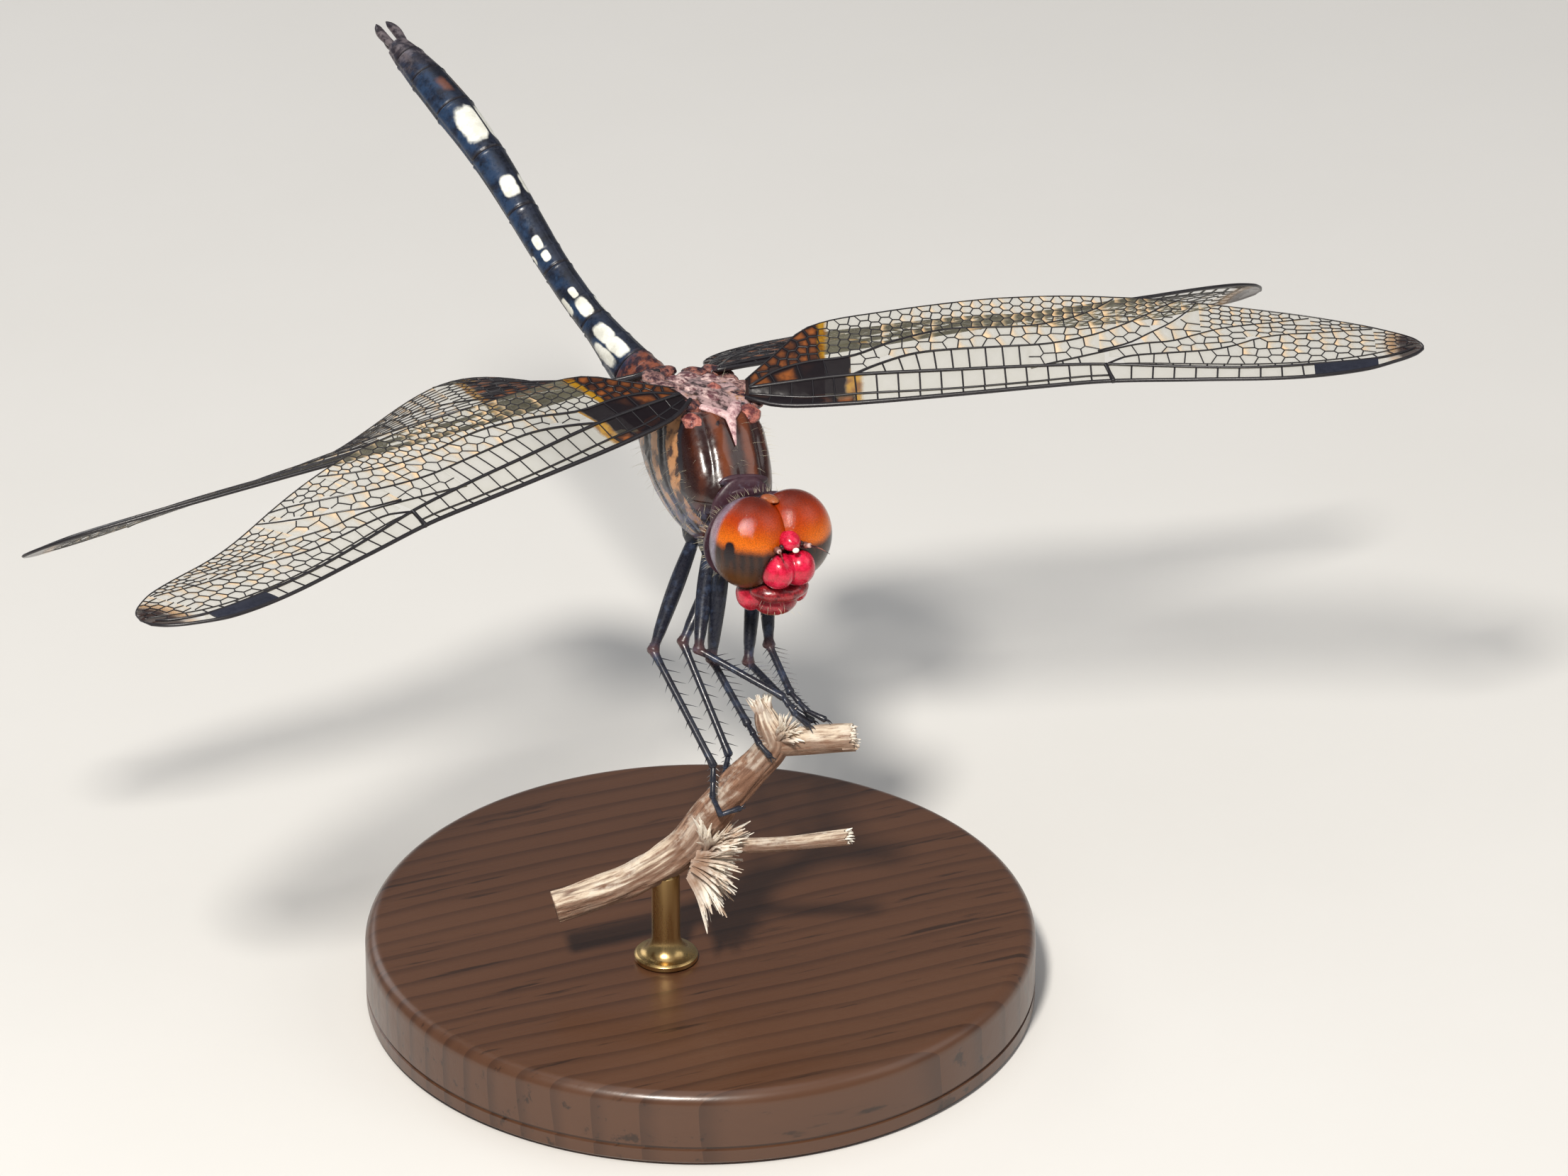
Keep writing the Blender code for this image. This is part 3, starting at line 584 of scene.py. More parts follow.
def sclerite_finish(look):
    """The lumps between the wings: pink, cream and purple brown under a waxy bloom."""
    _, height = grain(look, 4200.0)
    wax = look.noise(look.here(), 2100.0, 3.0, 0.65)
    hue = look.mark("hue")
    pale = look.mix(look.steps(wax, 0.38, 0.66), (0.12, 0.04, 0.05), (0.76, 0.55, 0.52))
    dark = look.mix(look.steps(wax, 0.4, 0.66), (0.02, 0.008, 0.016), (0.3, 0.11, 0.08))
    colour = look.mix(look.steps(hue, 0.2, 0.8), dark, pale)
    pink = look.mix(look.steps(wax, 0.35, 0.6), (0.3, 0.14, 0.16), (0.74, 0.5, 0.5))
    colour = look.mix(look.steps(hue, 1.06, 1.12), colour, pink)
    rosy = look.mix(look.steps(wax, 0.38, 0.62), (0.1, 0.02, 0.025), (0.5, 0.17, 0.13))
    colour = look.mix(look.steps(hue, 1.4, 1.6), colour, rosy)
    rough = look.rough(height, 0.25, 0.5)
    relief = look.plus(height, look.times(wax, 1.5))
    return surface(colour, look.bump(relief, 0.7, 0.09), rough)


# cream marks as (along, from the ridge) and their half lengths, then the smaller ones lower down
ABDOMEN_MARKS = (
    ((5.35, 1.05), (0.85, 0.46)),
    ((6.8, 1.0), (0.85, 0.46)),
    ((9.25, 0.76), (0.74, 0.39)),
    ((10.55, 0.75), (0.4, 0.22)),
    ((13.7, 0.85), (0.36, 0.25)),
    ((14.7, 0.88), (0.48, 0.26)),
    ((18.7, 0.69), (0.7, 0.5)),
    ((23.4, 0.77), (1.25, 0.78)),
    ((5.8, 2.0), (1.1, 0.36)),
    ((10.2, 1.65), (0.62, 0.26)),
    ((14.0, 1.75), (0.3, 0.2)),
)


def abdomen_finish(look):
    """Blue black with cream marks in pairs, a painted blue sheen on its sides, brown at the base and grey
    at the tip.
    """
    place, along = look.mark("unrolled", "Vector"), look.mark("along")
    tone, height = grain(look, 5200.0)
    colour = look.mix(look.steps(tone, 0.35, 0.65), (0.003, 0.004, 0.009), (0.013, 0.018, 0.036))
    # painted sheen: patchy lighter blue on the sides, away from the ridge
    dust_and_sheen = bloom_and_sheen_mask(look, 0.8, 900.0)
    dust_and_sheen = look.times(dust_and_sheen, look.mark("flank"))
    colour = look.mix(look.times(dust_and_sheen, 0.5), colour, (0.03, 0.075, 0.17))
    mottled = look.steps(look.noise(look.here(), 1500.0, 3.0, 0.65), 0.42, 0.62)
    base = look.mix(mottled, (0.025, 0.01, 0.016), (0.22, 0.065, 0.035))
    colour = look.mix(look.steps(along, 4.5, 3.4), colour, base)
    tip = look.times(look.steps(along, 27.6, 31.0), 0.75)
    colour = look.mix(tip, colour, look.mix(mottled, (0.03, 0.022, 0.028), (0.17, 0.14, 0.15)))
    cream = None
    for middle, reach in ABDOMEN_MARKS:
        mask = oval(look, place, middle, reach, 0.45, 0.14)
        cream = mask if cream is None else look.most(cream, mask)
    cream = look.times(cream, look.steps(look.mark("ridge"), 0.05, 0.12))
    pale = look.mix(look.steps(tone, 0.35, 0.65), (0.7, 0.7, 0.62), (0.92, 0.93, 0.86))
    colour = look.mix(cream, colour, pale)
    rusty = oval(look, place, (26.7, 0.62), (0.5, 0.3), 1.0, 0.45)
    colour = look.mix(look.times(rusty, 0.55), colour, (0.24, 0.09, 0.05))
    colour = look.mix(look.mark("joint"), colour, (0.01, 0.008, 0.012))
    rough = look.rough(height, 0.25, 0.45)
    return surface(colour, look.bump(height, 0.4, 0.03), rough)


def leg_finish(look):
    """Black with a painted steel blue sheen in patches, and brown knees."""
    tone, height = grain(look, 7000.0)
    colour = look.mix(tone, (0.004, 0.004, 0.006), (0.025, 0.028, 0.045))
    # painted sheen: patches of steel blue
    dust_and_sheen = bloom_and_sheen_mask(look, 0.6, 1200.0)
    colour = look.mix(look.times(dust_and_sheen, 0.4), colour, (0.08, 0.12, 0.22))
    colour = look.mix(look.times(look.mark("knee"), 0.8), colour, (0.13, 0.055, 0.05))
    rough = look.rough(height, 0.22, 0.42)
    return surface(colour, look.bump(height, 0.3, 0.02), rough)


def film_finish(look):
    """Clear, faintly olive film, brown at the wing's tip, with painted gold highlights on some cells."""
    place = look.mark("wing_place", "Vector")
    wobble = look.less(look.noise(place, 0.9, 3.0), 0.5)
    tip = look.plus(look.mark("tip"), look.times(wobble, 0.5))
    # painted highlight: gold wedges on one side of some cells, which also make the film less clear there
    glint = look.mark("glint")
    film = look.mix(look.noise(place, 0.5, 2.0), (0.26, 0.25, 0.15), (0.44, 0.41, 0.28))
    gold = look.mix(look.noise(place, 2.2, 1.0), (0.9, 0.5, 0.2), (1.0, 0.8, 0.52))
    colour = look.mix(glint, film, gold)
    amber, brown = look.steps(tip, -1.1, -0.2), look.steps(tip, -0.35, 0.3)
    colour = look.mix(look.times(amber, 0.85), colour, (0.5, 0.22, 0.01))
    colour = look.mix(brown, colour, (0.03, 0.012, 0.008))
    alpha = look.steps(look.mark("cell"), 1.0, 0.0, (0.1, 0.2))
    alpha = look.plus(alpha, look.times(glint, 0.65))
    alpha = look.most(alpha, look.times(amber, 0.55))
    alpha = look.most(alpha, look.times(brown, 0.9))
    ripple = look.noise(place, 3.0, 2.0)
    return {"Base_Color": colour, "Alpha": alpha, "Normal": look.bump(ripple, 0.15, 0.05)}


def stained_film_finish(look):
    """Film near the wing's root: black bands that end in amber, orange in the middle of cells."""
    place = look.mark("wing_place", "Vector")
    wobble = look.less(look.noise(place, 1.3, 3.0), 0.5)
    stain = look.plus(look.mark("stain"), look.times(wobble, 0.4))
    solid = look.steps(look.less(stain, look.mark("amber")), -0.1, 0.15)
    amber = look.steps(stain, -0.12, 0.25)
    warm = look.times(look.steps(look.mark("cell"), 0.15, 0.9), look.mark("orange"))
    cloud = look.steps(look.noise(place, 1.1, 3.0), 0.35, 0.6)
    warm = look.times(warm, look.plus(0.25, look.times(cloud, 0.75)))
    dark = look.mix(warm, (0.009, 0.006, 0.008), (0.3, 0.09, 0.02))
    film = look.mix(look.noise(place, 0.5, 2.0), (0.26, 0.25, 0.15), (0.44, 0.41, 0.28))
    colour = look.mix(amber, film, look.mix(cloud, (0.17, 0.06, 0.004), (0.4, 0.21, 0.012)))
    colour = look.mix(solid, colour, dark)
    alpha = look.most(0.2, look.times(amber, 0.9))
    alpha = look.most(alpha, look.times(solid, 0.98))
    rough = look.rough(look.noise(place, 3.0, 2.0), 0.3, 0.5)
    return {
        "Base_Color": colour, "Alpha": alpha, "Roughness": rough, "Normal": look.bump(wobble, 0.2, 0.05)
    }


def vein_finish(look):
    """Near black, faintly mottled."""
    tone, height = grain(look, 5000.0)
    colour = look.mix(tone, (0.004, 0.004, 0.006), (0.024, 0.02, 0.024))
    return {"Base_Color": colour, "Normal": look.bump(height, 0.3, 0.02)}


def wing_spot_finish(look):
    """Black with a blue grey sheen."""
    tone, height = grain(look, 2600.0)
    colour = look.mix(tone, (0.004, 0.004, 0.007), (0.03, 0.035, 0.06))
    return surface(colour, look.bump(height, 0.35, 0.04), look.rough(height, 0.22, 0.4))


def hair_finish(look):
    """Pale straw."""
    tone, _ = grain(look, 3000.0)
    return {"Base_Color": look.mix(tone, (0.4, 0.34, 0.22), (0.8, 0.76, 0.6))}


def bark_finish(look):
    """Weathered bark: brown or bleached cream, with dark furrows, pale specks and painted shade on the
    underside.
    """
    furrow = look.mark("furrow")
    tone, height = grain(look, 2600.0)
    streak = look.noise(look.mark("unrolled", "Vector"), 3.2, 5.0, 0.65)
    brown = look.mix(look.steps(streak, 0.3, 0.66), (0.1, 0.045, 0.028), (0.36, 0.2, 0.125))
    cream = look.mix(look.steps(streak, 0.3, 0.6), (0.34, 0.21, 0.14), (0.8, 0.68, 0.53))
    colour = look.mix(look.mark("pale"), brown, cream)
    colour = look.mix(look.times(look.steps(furrow, 0.55, 0.97), 0.7), colour, (0.13, 0.06, 0.04))
    specks = look.times(look.steps(tone, 0.48, 0.6), 0.5)
    colour = look.mix(specks, colour, (0.84, 0.77, 0.66))
    # painted shade: darker and browner where the surface faces down
    facing = look.node("SeparateXYZ", {0: look.node("NewGeometry").outputs["Normal"]}).outputs[2]
    under = look.steps(look.plus(facing, look.times(streak, 0.6)), 1.0, 0.55)
    colour = look.mix(look.times(under, 0.8), colour, (0.19, 0.09, 0.05))
    relief = look.plus(look.times(streak, 1.2), height)
    return surface(colour, look.bump(relief, 0.8, 0.12), look.rough(tone, 0.65, 0.92))


def splinter_finish(look):
    """Bleached torn wood, browner at its root."""
    tone, height = grain(look, 3600.0)
    colour = look.mix(look.steps(tone, 0.34, 0.6), (0.46, 0.32, 0.22), (0.93, 0.88, 0.78))
    colour = look.mix(look.times(look.mark("inner"), 0.65), colour, (0.26, 0.14, 0.09))
    return surface(colour, look.bump(height, 0.6, 0.06), look.rough(tone, 0.7, 0.95))


def stand_wood_finish(look):
    """Dark stained wood: long rings drawn out along one way, with open pores."""
    place = look.here()
    bent = look.noise(place, 40.0, 2.0)
    across = look.node("SeparateXYZ", {0: place}).outputs[1]
    rings = look.plus(look.times(across, 620.0), look.times(bent, 1.6))
    late = look.steps(look.calc("FRACT", rings), 0.55, 1.0)
    tone, pore = grain(look, 900.0, (0.12, 1.6, 1.0))
    colour = look.mix(late, (0.075, 0.032, 0.016), (0.028, 0.011, 0.006))
    colour = look.mix(tone, colour, look.mix(0.6, colour, (0.14, 0.06, 0.028)))
    colour = look.mix(look.times(look.steps(pore, 0.4, 0.3), 0.7), colour, (0.01, 0.005, 0.003))
    return surface(colour, look.bump(pore, 0.25, 0.08), look.rough(tone, 0.28, 0.42))


def brass_finish(look):
    """Brass brushed along the rod."""
    tone, height = grain(look, 2500.0, (1, 1, 0.15))
    colour = look.mix(tone, (0.42, 0.27, 0.1), (0.72, 0.52, 0.24))
    return surface(colour, look.bump(height, 0.15, 0.02), look.rough(tone, 0.2, 0.36))


def bead_finish(look):
    """The three simple eyes: two dark, one cream."""
    hue = look.mark("hue")
    tone, _ = grain(look, 8000.0)
    colour = look.mix(hue, look.mix(tone, (0.01, 0.004, 0.004), (0.05, 0.02, 0.02)), (0.92, 0.9, 0.8))
    return {"Base_Color": colour}


EYE = finish("eye_horn", eye_finish, 0.06, IOR=1.48)
FACE = finish("face_horn", face_finish, 0.25, Coat_Weight=0.35, Coat_Roughness=0.12)
HEAD_DARK = finish("head_dark_horn", head_dark_finish, 0.4)
THORAX_HORN = finish("thorax_horn", thorax_finish, 0.22, Coat_Weight=0.5, Coat_Roughness=0.1)
SCLERITE = finish("wing_base_horn", sclerite_finish, 0.4)
ABDOMEN = finish("abdomen_horn", abdomen_finish, 0.35)
LEG = finish("leg_horn", leg_finish, 0.3)
MEMBRANE = finish("wing_film", film_finish, 0.15, IOR=1.6)
STAINED_FILM = finish("wing_root_film", stained_film_finish, 0.4, IOR=1.25)
VEIN = finish("wing_vein", vein_finish, 0.32)
WING_SPOT = finish("wing_spot", wing_spot_finish, 0.3)
HAIR = finish("pale_hair", hair_finish, 0.5)
BARK = finish("twig_bark", bark_finish, 0.85)
SPLINTER = finish("twig_splinters", splinter_finish, 0.9)
WOOD = finish("stand_wood", stand_wood_finish, 0.35, Coat_Weight=0.25, Coat_Roughness=0.2)
BRASS = finish("stand_brass", brass_finish, 0.28, Metallic=1.0)
BEAD = finish("simple_eye", bead_finish, 0.12)


# ---------------------------------------------------------------- wings
FOREWING_LENGTH, HINDWING_LENGTH = 37.6, 36.5
CAMBER = 0.025
FOREWING_STATIONS = (
    (-0.012, -0.3, 1.0),
    (0.03, -0.9, 2.7),
    (0.08, -1.1, 4.8),
    (0.19, -1.05, 6.2),
    (0.33, -0.72, 7.4),
    (0.43, -0.42, 7.8),
    (0.53, -0.19, 7.97),
    (0.66, -0.43, 8.1),
    (0.81, -0.7, 7.5),
    (0.91, -0.05, 6.4),
    (0.965, 1.25, 5.3),
    (0.99, 2.15, 4.5),
    (1.0, 2.85, 3.75),
)
HINDWING_STATIONS = (
    (-0.01, 0.1, 2.0),
    (0.03, -0.2, 4.2),
    (0.06, -0.25, 7.4),
    (0.10, -0.3, 9.9),
    (0.15, -0.45, 11.3),
    (0.22, -0.55, 11.6),
    (0.32, -0.65, 11.3),
    (0.43, -0.75, 10.6),
    (0.61, -0.7, 9.5),
    (0.78, -0.4, 8.3),
    (0.90, 0.25, 6.8),
    (0.965, 1.3, 5.2),
    (0.99, 2.2, 4.3),
    (1.0, 2.9, 3.6),
)
ATTITUDES = {
    "forewing_left": ((2.3, -1.3, -0.3), 0.45, 24.0, -2.5, (24, 15, 10, 1, -6)),
    "forewing_right": ((-2.3, -1.6, 0.35), 0.5, 22.6, 0.5, (14, 7, 4, -11, -5)),
    "hindwing_left": ((2.3, 2.3, -0.4), 0.62, -4.0, 4.0, (-25, -22, -24, -34, -40)),
    "hindwing_right": ((-2.3, 2.3, 0.25), 0.4, -6.9, 8.9, (-33, -16, -27, -30, -34)),
}
# each long vein: how far it stands above the film, its radius at the root and at the tip,
# then its course as (out, behind the hinge line) keys
FOREWING_VEINS = {
    "subcosta": (
        -0.1, 0.085, 0.06, (-0.2, 0.0), (3, -0.42), (6.1, -0.31), (11.1, -0.2), (15.6, 0.12),
        (18.6, 0.42), (19.9, 0.46),
    ),
    "radius": (
        0.1, 0.12, 0.075, (-0.2, 0.3), (1.1, 0.44), (5.6, 0.91), (11.1, 1.08), (15.6, 1.19), (19.4, 1.19),
        (22.2, 0.94), (25, 0.66), (27.8, 0.44), (30.6, 0.49), (34.7, 1.08), (36.4, 2.1), (37.2, 2.95),
    ),
    "near_sector": (
        -0.06, 0.05, 0.04, (19.7, 1.24), (21, 1.4), (25, 1.2), (28, 1.02), (31, 1.12), (34, 1.72),
        (36, 2.7), (37.1, 3.5),
    ),
    "upper_sector": (
        0.05, 0.06, 0.04, (19.9, 1.3), (21, 1.9), (23.6, 2.2), (25.8, 2.47), (27.2, 3.0), (28.3, 3.7),
        (29.7, 4.25), (32, 4.7), (34.9, 5.6),
    ),
    "middle_sector": (
        -0.05, 0.065, 0.04, (15.6, 1.22), (17.2, 1.7), (19.4, 2.4), (21.7, 3.2), (23.6, 3.55), (25, 4.3),
        (26.4, 5.1), (27.8, 5.65), (29.4, 6.2), (31.4, 7.1),
    ),
    "lower_sector": (
        0.05, 0.06, 0.04, (19.4, 2.45), (21.1, 3.15), (22.2, 4.05), (23.6, 5.4), (24.6, 6.9), (25.1, 8.0)
    ),
    "media": (
        0.07, 0.085, 0.045, (5.6, 0.95), (6.9, 1.65), (9, 2.5), (11.1, 2.8), (13.9, 2.95), (16.7, 3.15),
        (18.9, 3.8), (20.6, 4.75), (22.2, 6.1), (23.4, 7.4), (24.1, 8.05),
    ),
    "cubitus": (
        -0.05, 0.1, 0.045, (-0.2, 0.5), (1.2, 1.5), (3, 2.1), (5.6, 2.55), (8.1, 3.8), (11, 4.75),
        (15.5, 4.95), (17.8, 5.65), (19.4, 6.75), (20.4, 7.9),
    ),
}
# the hindwing's courses are (out, behind the leading edge) keys
HINDWING_VEINS = {
    "subcosta": (
        -0.1, 0.085, 0.06, (-0.2, 0.2), (3, 0.55), (8, 0.6), (12, 0.65), (14.4, 0.75), (15.7, 0.87)
    ),
    "radius": (
        0.1, 0.12, 0.07, (-0.2, 0.5), (3, 1.3), (8, 1.45), (15.7, 1.5), (20, 1.35), (26, 1.1), (31, 1.05),
        (34, 1.1), (35.5, 0.8), (36.1, 0.5),
    ),
    "near_sector": (
        -0.06, 0.05, 0.04, (15.7, 1.52), (17.5, 1.85), (21, 1.85), (26, 1.7), (31, 1.7), (34, 1.75),
        (35.9, 1.3),
    ),
    "upper_sector": (
        0.05, 0.06, 0.04, (16.4, 1.7), (17.4, 2.4), (20, 2.8), (23, 3.1), (26, 3.9), (29, 4.7), (32, 5.3),
        (34, 5.7),
    ),
    "middle_sector": (
        -0.05, 0.065, 0.04, (11.5, 1.5), (13.5, 2.2), (17, 3.3), (21, 4.2), (25, 5.3), (28, 6.7),
        (29.9, 8.2),
    ),
    "lower_sector": (0.05, 0.06, 0.04, (15.5, 2.9), (18, 4.1), (20.5, 6.0), (22.5, 8.0), (23.6, 9.8)),
    "media": (
        0.07, 0.085, 0.045, (4.5, 1.4), (6.5, 2.4), (9, 3.1), (12, 3.7), (15, 4.7), (17.5, 6.3),
        (19.6, 8.4), (20.9, 10.2),
    ),
    "cubitus": (
        -0.05, 0.1, 0.045, (-0.2, 0.7), (1.5, 1.8), (3, 2.6), (5.5, 3.2), (8, 4.2), (10.5, 5.9),
        (13, 8.2), (15, 11.3),
    ),
    "anal": (
        0.05, 0.08, 0.04, (-0.2, 0.95), (1.2, 3.2), (2.6, 5.0), (5, 6.8), (7, 8.4), (9, 10.2),
        (10.5, 12.0),
    ),
    "hind_anal": (-0.04, 0.06, 0.04, (0.3, 2.4), (1.4, 5.4), (2.6, 7.6), (4.2, 9.6), (5.6, 11.3)),
}
NODUS = {"forewing": 20.0, "hindwing": 15.8}
WING_SPOT_REACH = {"forewing": (31.4, 35.0), "hindwing": (30.4, 34.0)}
# along each strip of root film, named by the vein in front of it: where its colour ends, how far
# out its orange part reaches (or, below zero, where that starts), and how long its amber end is
ROOT_PATCH = {
    "forewing": {
        "costa": (6.2, -4.4, 0.45),
        "subcosta": (6.2, -99, 0.95),
        "radius": (6.0, 2.6, 0.45),
        "cubitus": (4.2, 4.4, 0.5),
    },
    "hindwing": {
        "costa": (8.0, -6, 0.5),
        "subcosta": (9.4, -99, 0.6),
        "radius": (9.4, 6, 0.6),
        "media": (9.4, 12, 0.6),
        "cubitus": (9.6, 12, 0.6),
        "anal": (9.0, 12, 0.6),
        "hind_anal": (7.6, 12, 0.6),
    },
}
CELL_SIZE, EDGE_CELL_SIZE = 0.82, 0.6
FRONT_CELL = {"costa": 1.2, "subcosta": 1.2, "radius": 0.95, "near_sector": 0.85}
FRONT_VEINS = ("costa", "subcosta", "radius")
FRONT_STRIP_WIDTH = 2.1  # a strip behind a front vein has one row of cells where it is narrower
STAGGER = 0.22  # how far the cells of every other column move, in rows
JITTER, FRONT_JITTER = 0.1, 0.015
STRIP_STEP, SHORTEST_STRIP = 0.25, 0.3
NO_PATCH, PATCH_MARGIN = (-9, -9, 1), 1.2
# how far out the backing sheet has the root's finish, and how deep it lies under the cells
ROOT_SHEET, SHEET_DEPTH = {"forewing": 4.0, "hindwing": 7.4}, 0.08
PLEAT_FADE = 3.0  # the pleats flatten over this length at the tip
# the brown tip: how deep it is, how its border curves and where that turns
TIP_DEPTH, TIP_CURVE, TIP_MIDDLE = 1.5, 0.06, 2.9
VEIN_SIDES, CROSSVEIN_RADIUS, FRONT_CROSSVEIN = 6, 0.042, 1.25
TOOTH_GAP, TOOTH_LENGTH, TOOTH_RADIUS = 0.32, 0.14, 0.018


class Wing:
    """One wing: pleated film between long veins, cells, cross veins and a dark spot near the tip."""

    def __init__(self, name):
        root, inset, sweep, droop, twist = ATTITUDES[name]
        self.name, self.kind = name, name.split("_")[0]
        fore = self.kind == "forewing"
        self.length = FOREWING_LENGTH if fore else HINDWING_LENGTH
        stations = FOREWING_STATIONS if fore else HINDWING_STATIONS
        self.root = Vector(root)
        outline = [(s * self.length, lead, trail) for s, lead, trail in stations]
        self.outline = Table([(-inset, *outline[0][1:]), *outline[1:]])
        self.twist = Table([(i / 4 * self.length, math.radians(turn)) for i, turn in enumerate(twist)])
        side = math.copysign(1, root[0])
        sweep, droop = math.radians(sweep), math.radians(droop)
        level = Vector((side * cos(sweep), -sin(sweep), 0))
        self.out = level * cos(droop) - Vector((0, 0, 1)) * sin(droop)
        self.back = Vector((side * sin(sweep), cos(sweep), 0))
        self.up = self.out.cross(self.back) * side
        self.side = side
        veins = FOREWING_VEINS if fore else HINDWING_VEINS
        self.veins = {"costa": (0.02, 0.14, 0.09, None)}
        edge = [(s * self.length, 0.0 if fore else lead) for s, lead, _ in stations]
        for key, (height, thick, thin, *keys) in veins.items():
            course = [(x, drop + blend(edge, x)[0]) for x, drop in keys]
            self.veins[key] = (height, thick, thin, Table(course))
        self.veins["margin"] = (0.0, 0.04, 0.04, None)
        self.dice = random.Random(name)

    def course(self, vein, x):
        """How far behind the hinge line a vein runs at x."""
        lead, trail = self.outline.at(x)
        if vein == "costa":
            return lead
        if vein == "margin":
            return trail
        return min(max(self.veins[vein][3].at(x)[0], lead), trail)

    def span(self, vein):
        """How far out a vein starts and ends."""
        table = self.veins[vein][3]
        return (table.first, table.last) if table else (self.outline.first, self.length)

    def place(self, x, behind, lift=0.0):
        """The spot x out and so far behind, on the cambered film."""
        lead, trail = self.outline.at(x)
        across = min(max((behind - lead) / max(trail - lead, 0.1), 0.0), 1.0)
        bow = CAMBER * (trail - lead) * sin(pi * across)
        turn = self.twist.at(x)[0]
        back = self.back * cos(turn) + self.up * sin(turn)
        up = self.up * cos(turn) - self.back * sin(turn)
        return self.root + self.out * x + back * behind + up * (lift + bow)

    def strips(self):
        """Each stretch of film between neighbouring long veins: (upper, lower, from, to)."""
        found = {}
        x = self.outline.first + 0.05
        while x < self.length - 0.05:
            here = [v for v in self.veins if self.span(v)[0] <= x <= self.span(v)[1]]
            here.sort(key=lambda v: self.course(v, x))
            for upper, lower in zip(here, here[1:]):
                runs = found.setdefault((upper, lower), [])
                if runs and x - runs[-1][1] < STRIP_STEP * 1.5:
                    runs[-1][1] = x
                else:
                    runs.append([x, x])
            x += STRIP_STEP
        ends = []
        for pair, runs in found.items():
            for a, b in runs:
                last = self.length if b > self.length - 0.6 else b + STRIP_STEP / 2
                if b - a > SHORTEST_STRIP:
                    ends.append((*pair, a - STRIP_STEP / 2, last))
        return ends

    def seeds(self, upper, lower, first, last):
        """Staggered rows of cell middles over one strip, each with its row count."""
        made, column = [], 0
        x = first
        while x < last:
            top, bottom = self.course(upper, x), self.course(lower, x)
            wide = bottom - top
            trail = self.outline.at(x)[1]
            near_edge = soft_step(3.5, 0.8, trail - (top + bottom) / 2)
            size = CELL_SIZE + (EDGE_CELL_SIZE - CELL_SIZE) * near_edge
            narrow = upper in FRONT_VEINS and wide < FRONT_STRIP_WIDTH
            rows = 1 if narrow else max(1, round(wide / size))
            pitch = FRONT_CELL.get(upper, size) if rows == 1 else size * 0.92
            if (upper, lower) == ("radius", "cubitus") and x < 5.0:
                rows, pitch = 1, 1.45
            if x + pitch * 0.5 > last:
                break
            for row in range(rows):
                shift = 0.0 if rows == 1 else (STAGGER if column % 2 else -STAGGER)
                across = (row + 0.5 + shift) / rows
                jitter = FRONT_JITTER if rows == 1 else JITTER
                out = x + pitch / 2 + self.dice.uniform(-jitter, jitter) * pitch
                stray = self.dice.uniform(-jitter, jitter) * wide / rows if rows > 1 else 0.0
                made.append(Vector((out, top + wide * across + stray)))
            x += pitch
            column += 1
        return made

    def mirrored(self, spot, vein):
        """The spot's reflection in a vein, so that a cell wall falls on the vein."""
        y = self.course(vein, spot.x)
        slope = (self.course(vein, spot.x + 0.1) - self.course(vein, spot.x - 0.1)) / 0.2
        normal = Vector((slope, -1.0)).normalized()
        return spot - normal * (2 * (spot - Vector((spot.x, y))).dot(normal))

    def cells(self, upper, lower, first, last):
        """Rounded cells that fill one strip, as (middle, corners), and the walls between them."""
        seeds = self.seeds(upper, lower, first, last)
        for settle in range(3):
            walls, fans = self.cell_walls(seeds, upper, lower, first, last)
            if settle < 2 and upper not in FRONT_VEINS:
                for i, corners in fans.items():
                    middle = sum(corners, Vector((0.0, 0.0))) / len(corners)
                    seeds[i] = seeds[i].lerp(middle, 0.6)
        return [(seeds[i], corners) for i, corners in fans.items()], walls

    def cell_walls(self, seeds, upper, lower, first, last):
        """The walls between cells grown about the seeds, and each cell's corners in order."""
        count = len(seeds)
        spots = list(seeds)
        for vein in (upper, lower):
            spots += [self.mirrored(s, vein) for s in seeds]
        near = [(s, end) for s in seeds for end in (first, last) if abs(s.x - end) < 2.5]
        spots += [Vector((2 * end - s.x, s.y)) for s, end in near]
        result = delaunay_2d_cdt(spots, [], [], 0, 1e-5)
        points, faces, origins = result[0], result[2], result[3]
        hubs, around, sharing = [], {}, {}
        for n, face in enumerate(faces):
            a, b, c = (points[i] for i in face)
            d = 2 * (a.x * (b.y - c.y) + b.x * (c.y - a.y) + c.x * (a.y - b.y))
            if abs(d) < 1e-9:
                hubs.append(None)
                continue
            aa, bb, cc = a.length_squared, b.length_squared, c.length_squared
            hub = Vector((
                (aa * (b.y - c.y) + bb * (c.y - a.y) + cc * (a.y - b.y)) / d,
                (aa * (c.x - b.x) + bb * (a.x - c.x) + cc * (b.x - a.x)) / d,
            ))
            hub.x = min(max(hub.x, first), last)
            hub.y = min(max(hub.y, self.course(upper, hub.x)), self.course(lower, hub.x))
            hubs.append(hub)
            ids = [origins[i][0] for i in face]
            for k in range(3):
                if ids[k] < count:
                    around.setdefault(ids[k], []).append(n)
                pair = tuple(sorted((ids[k], ids[(k + 1) % 3])))
                sharing.setdefault(pair, []).append(n)
        walls = []
        for (i, j), owners in sharing.items():
            if j < count and len(owners) == 2 and all(hubs[n] is not None for n in owners):
                a, b = (hubs[n] for n in owners)
                if (a - b).length > 0.02:
                    walls.append((a, b))
        fans = {}
        for i, owners in around.items():
            corners = [hubs[n] for n in owners if hubs[n] is not None]
            if len(corners) > 2:
                corners.sort(key=lambda p: math.atan2(p.y - seeds[i].y, p.x - seeds[i].x))
                fans[i] = corners
        return walls, fans

    def flattened(self, x):
        """1 over most of the wing, 0 at its tip, where the film lies flat."""
        return soft_step(0.0, PLEAT_FADE, self.length - x)

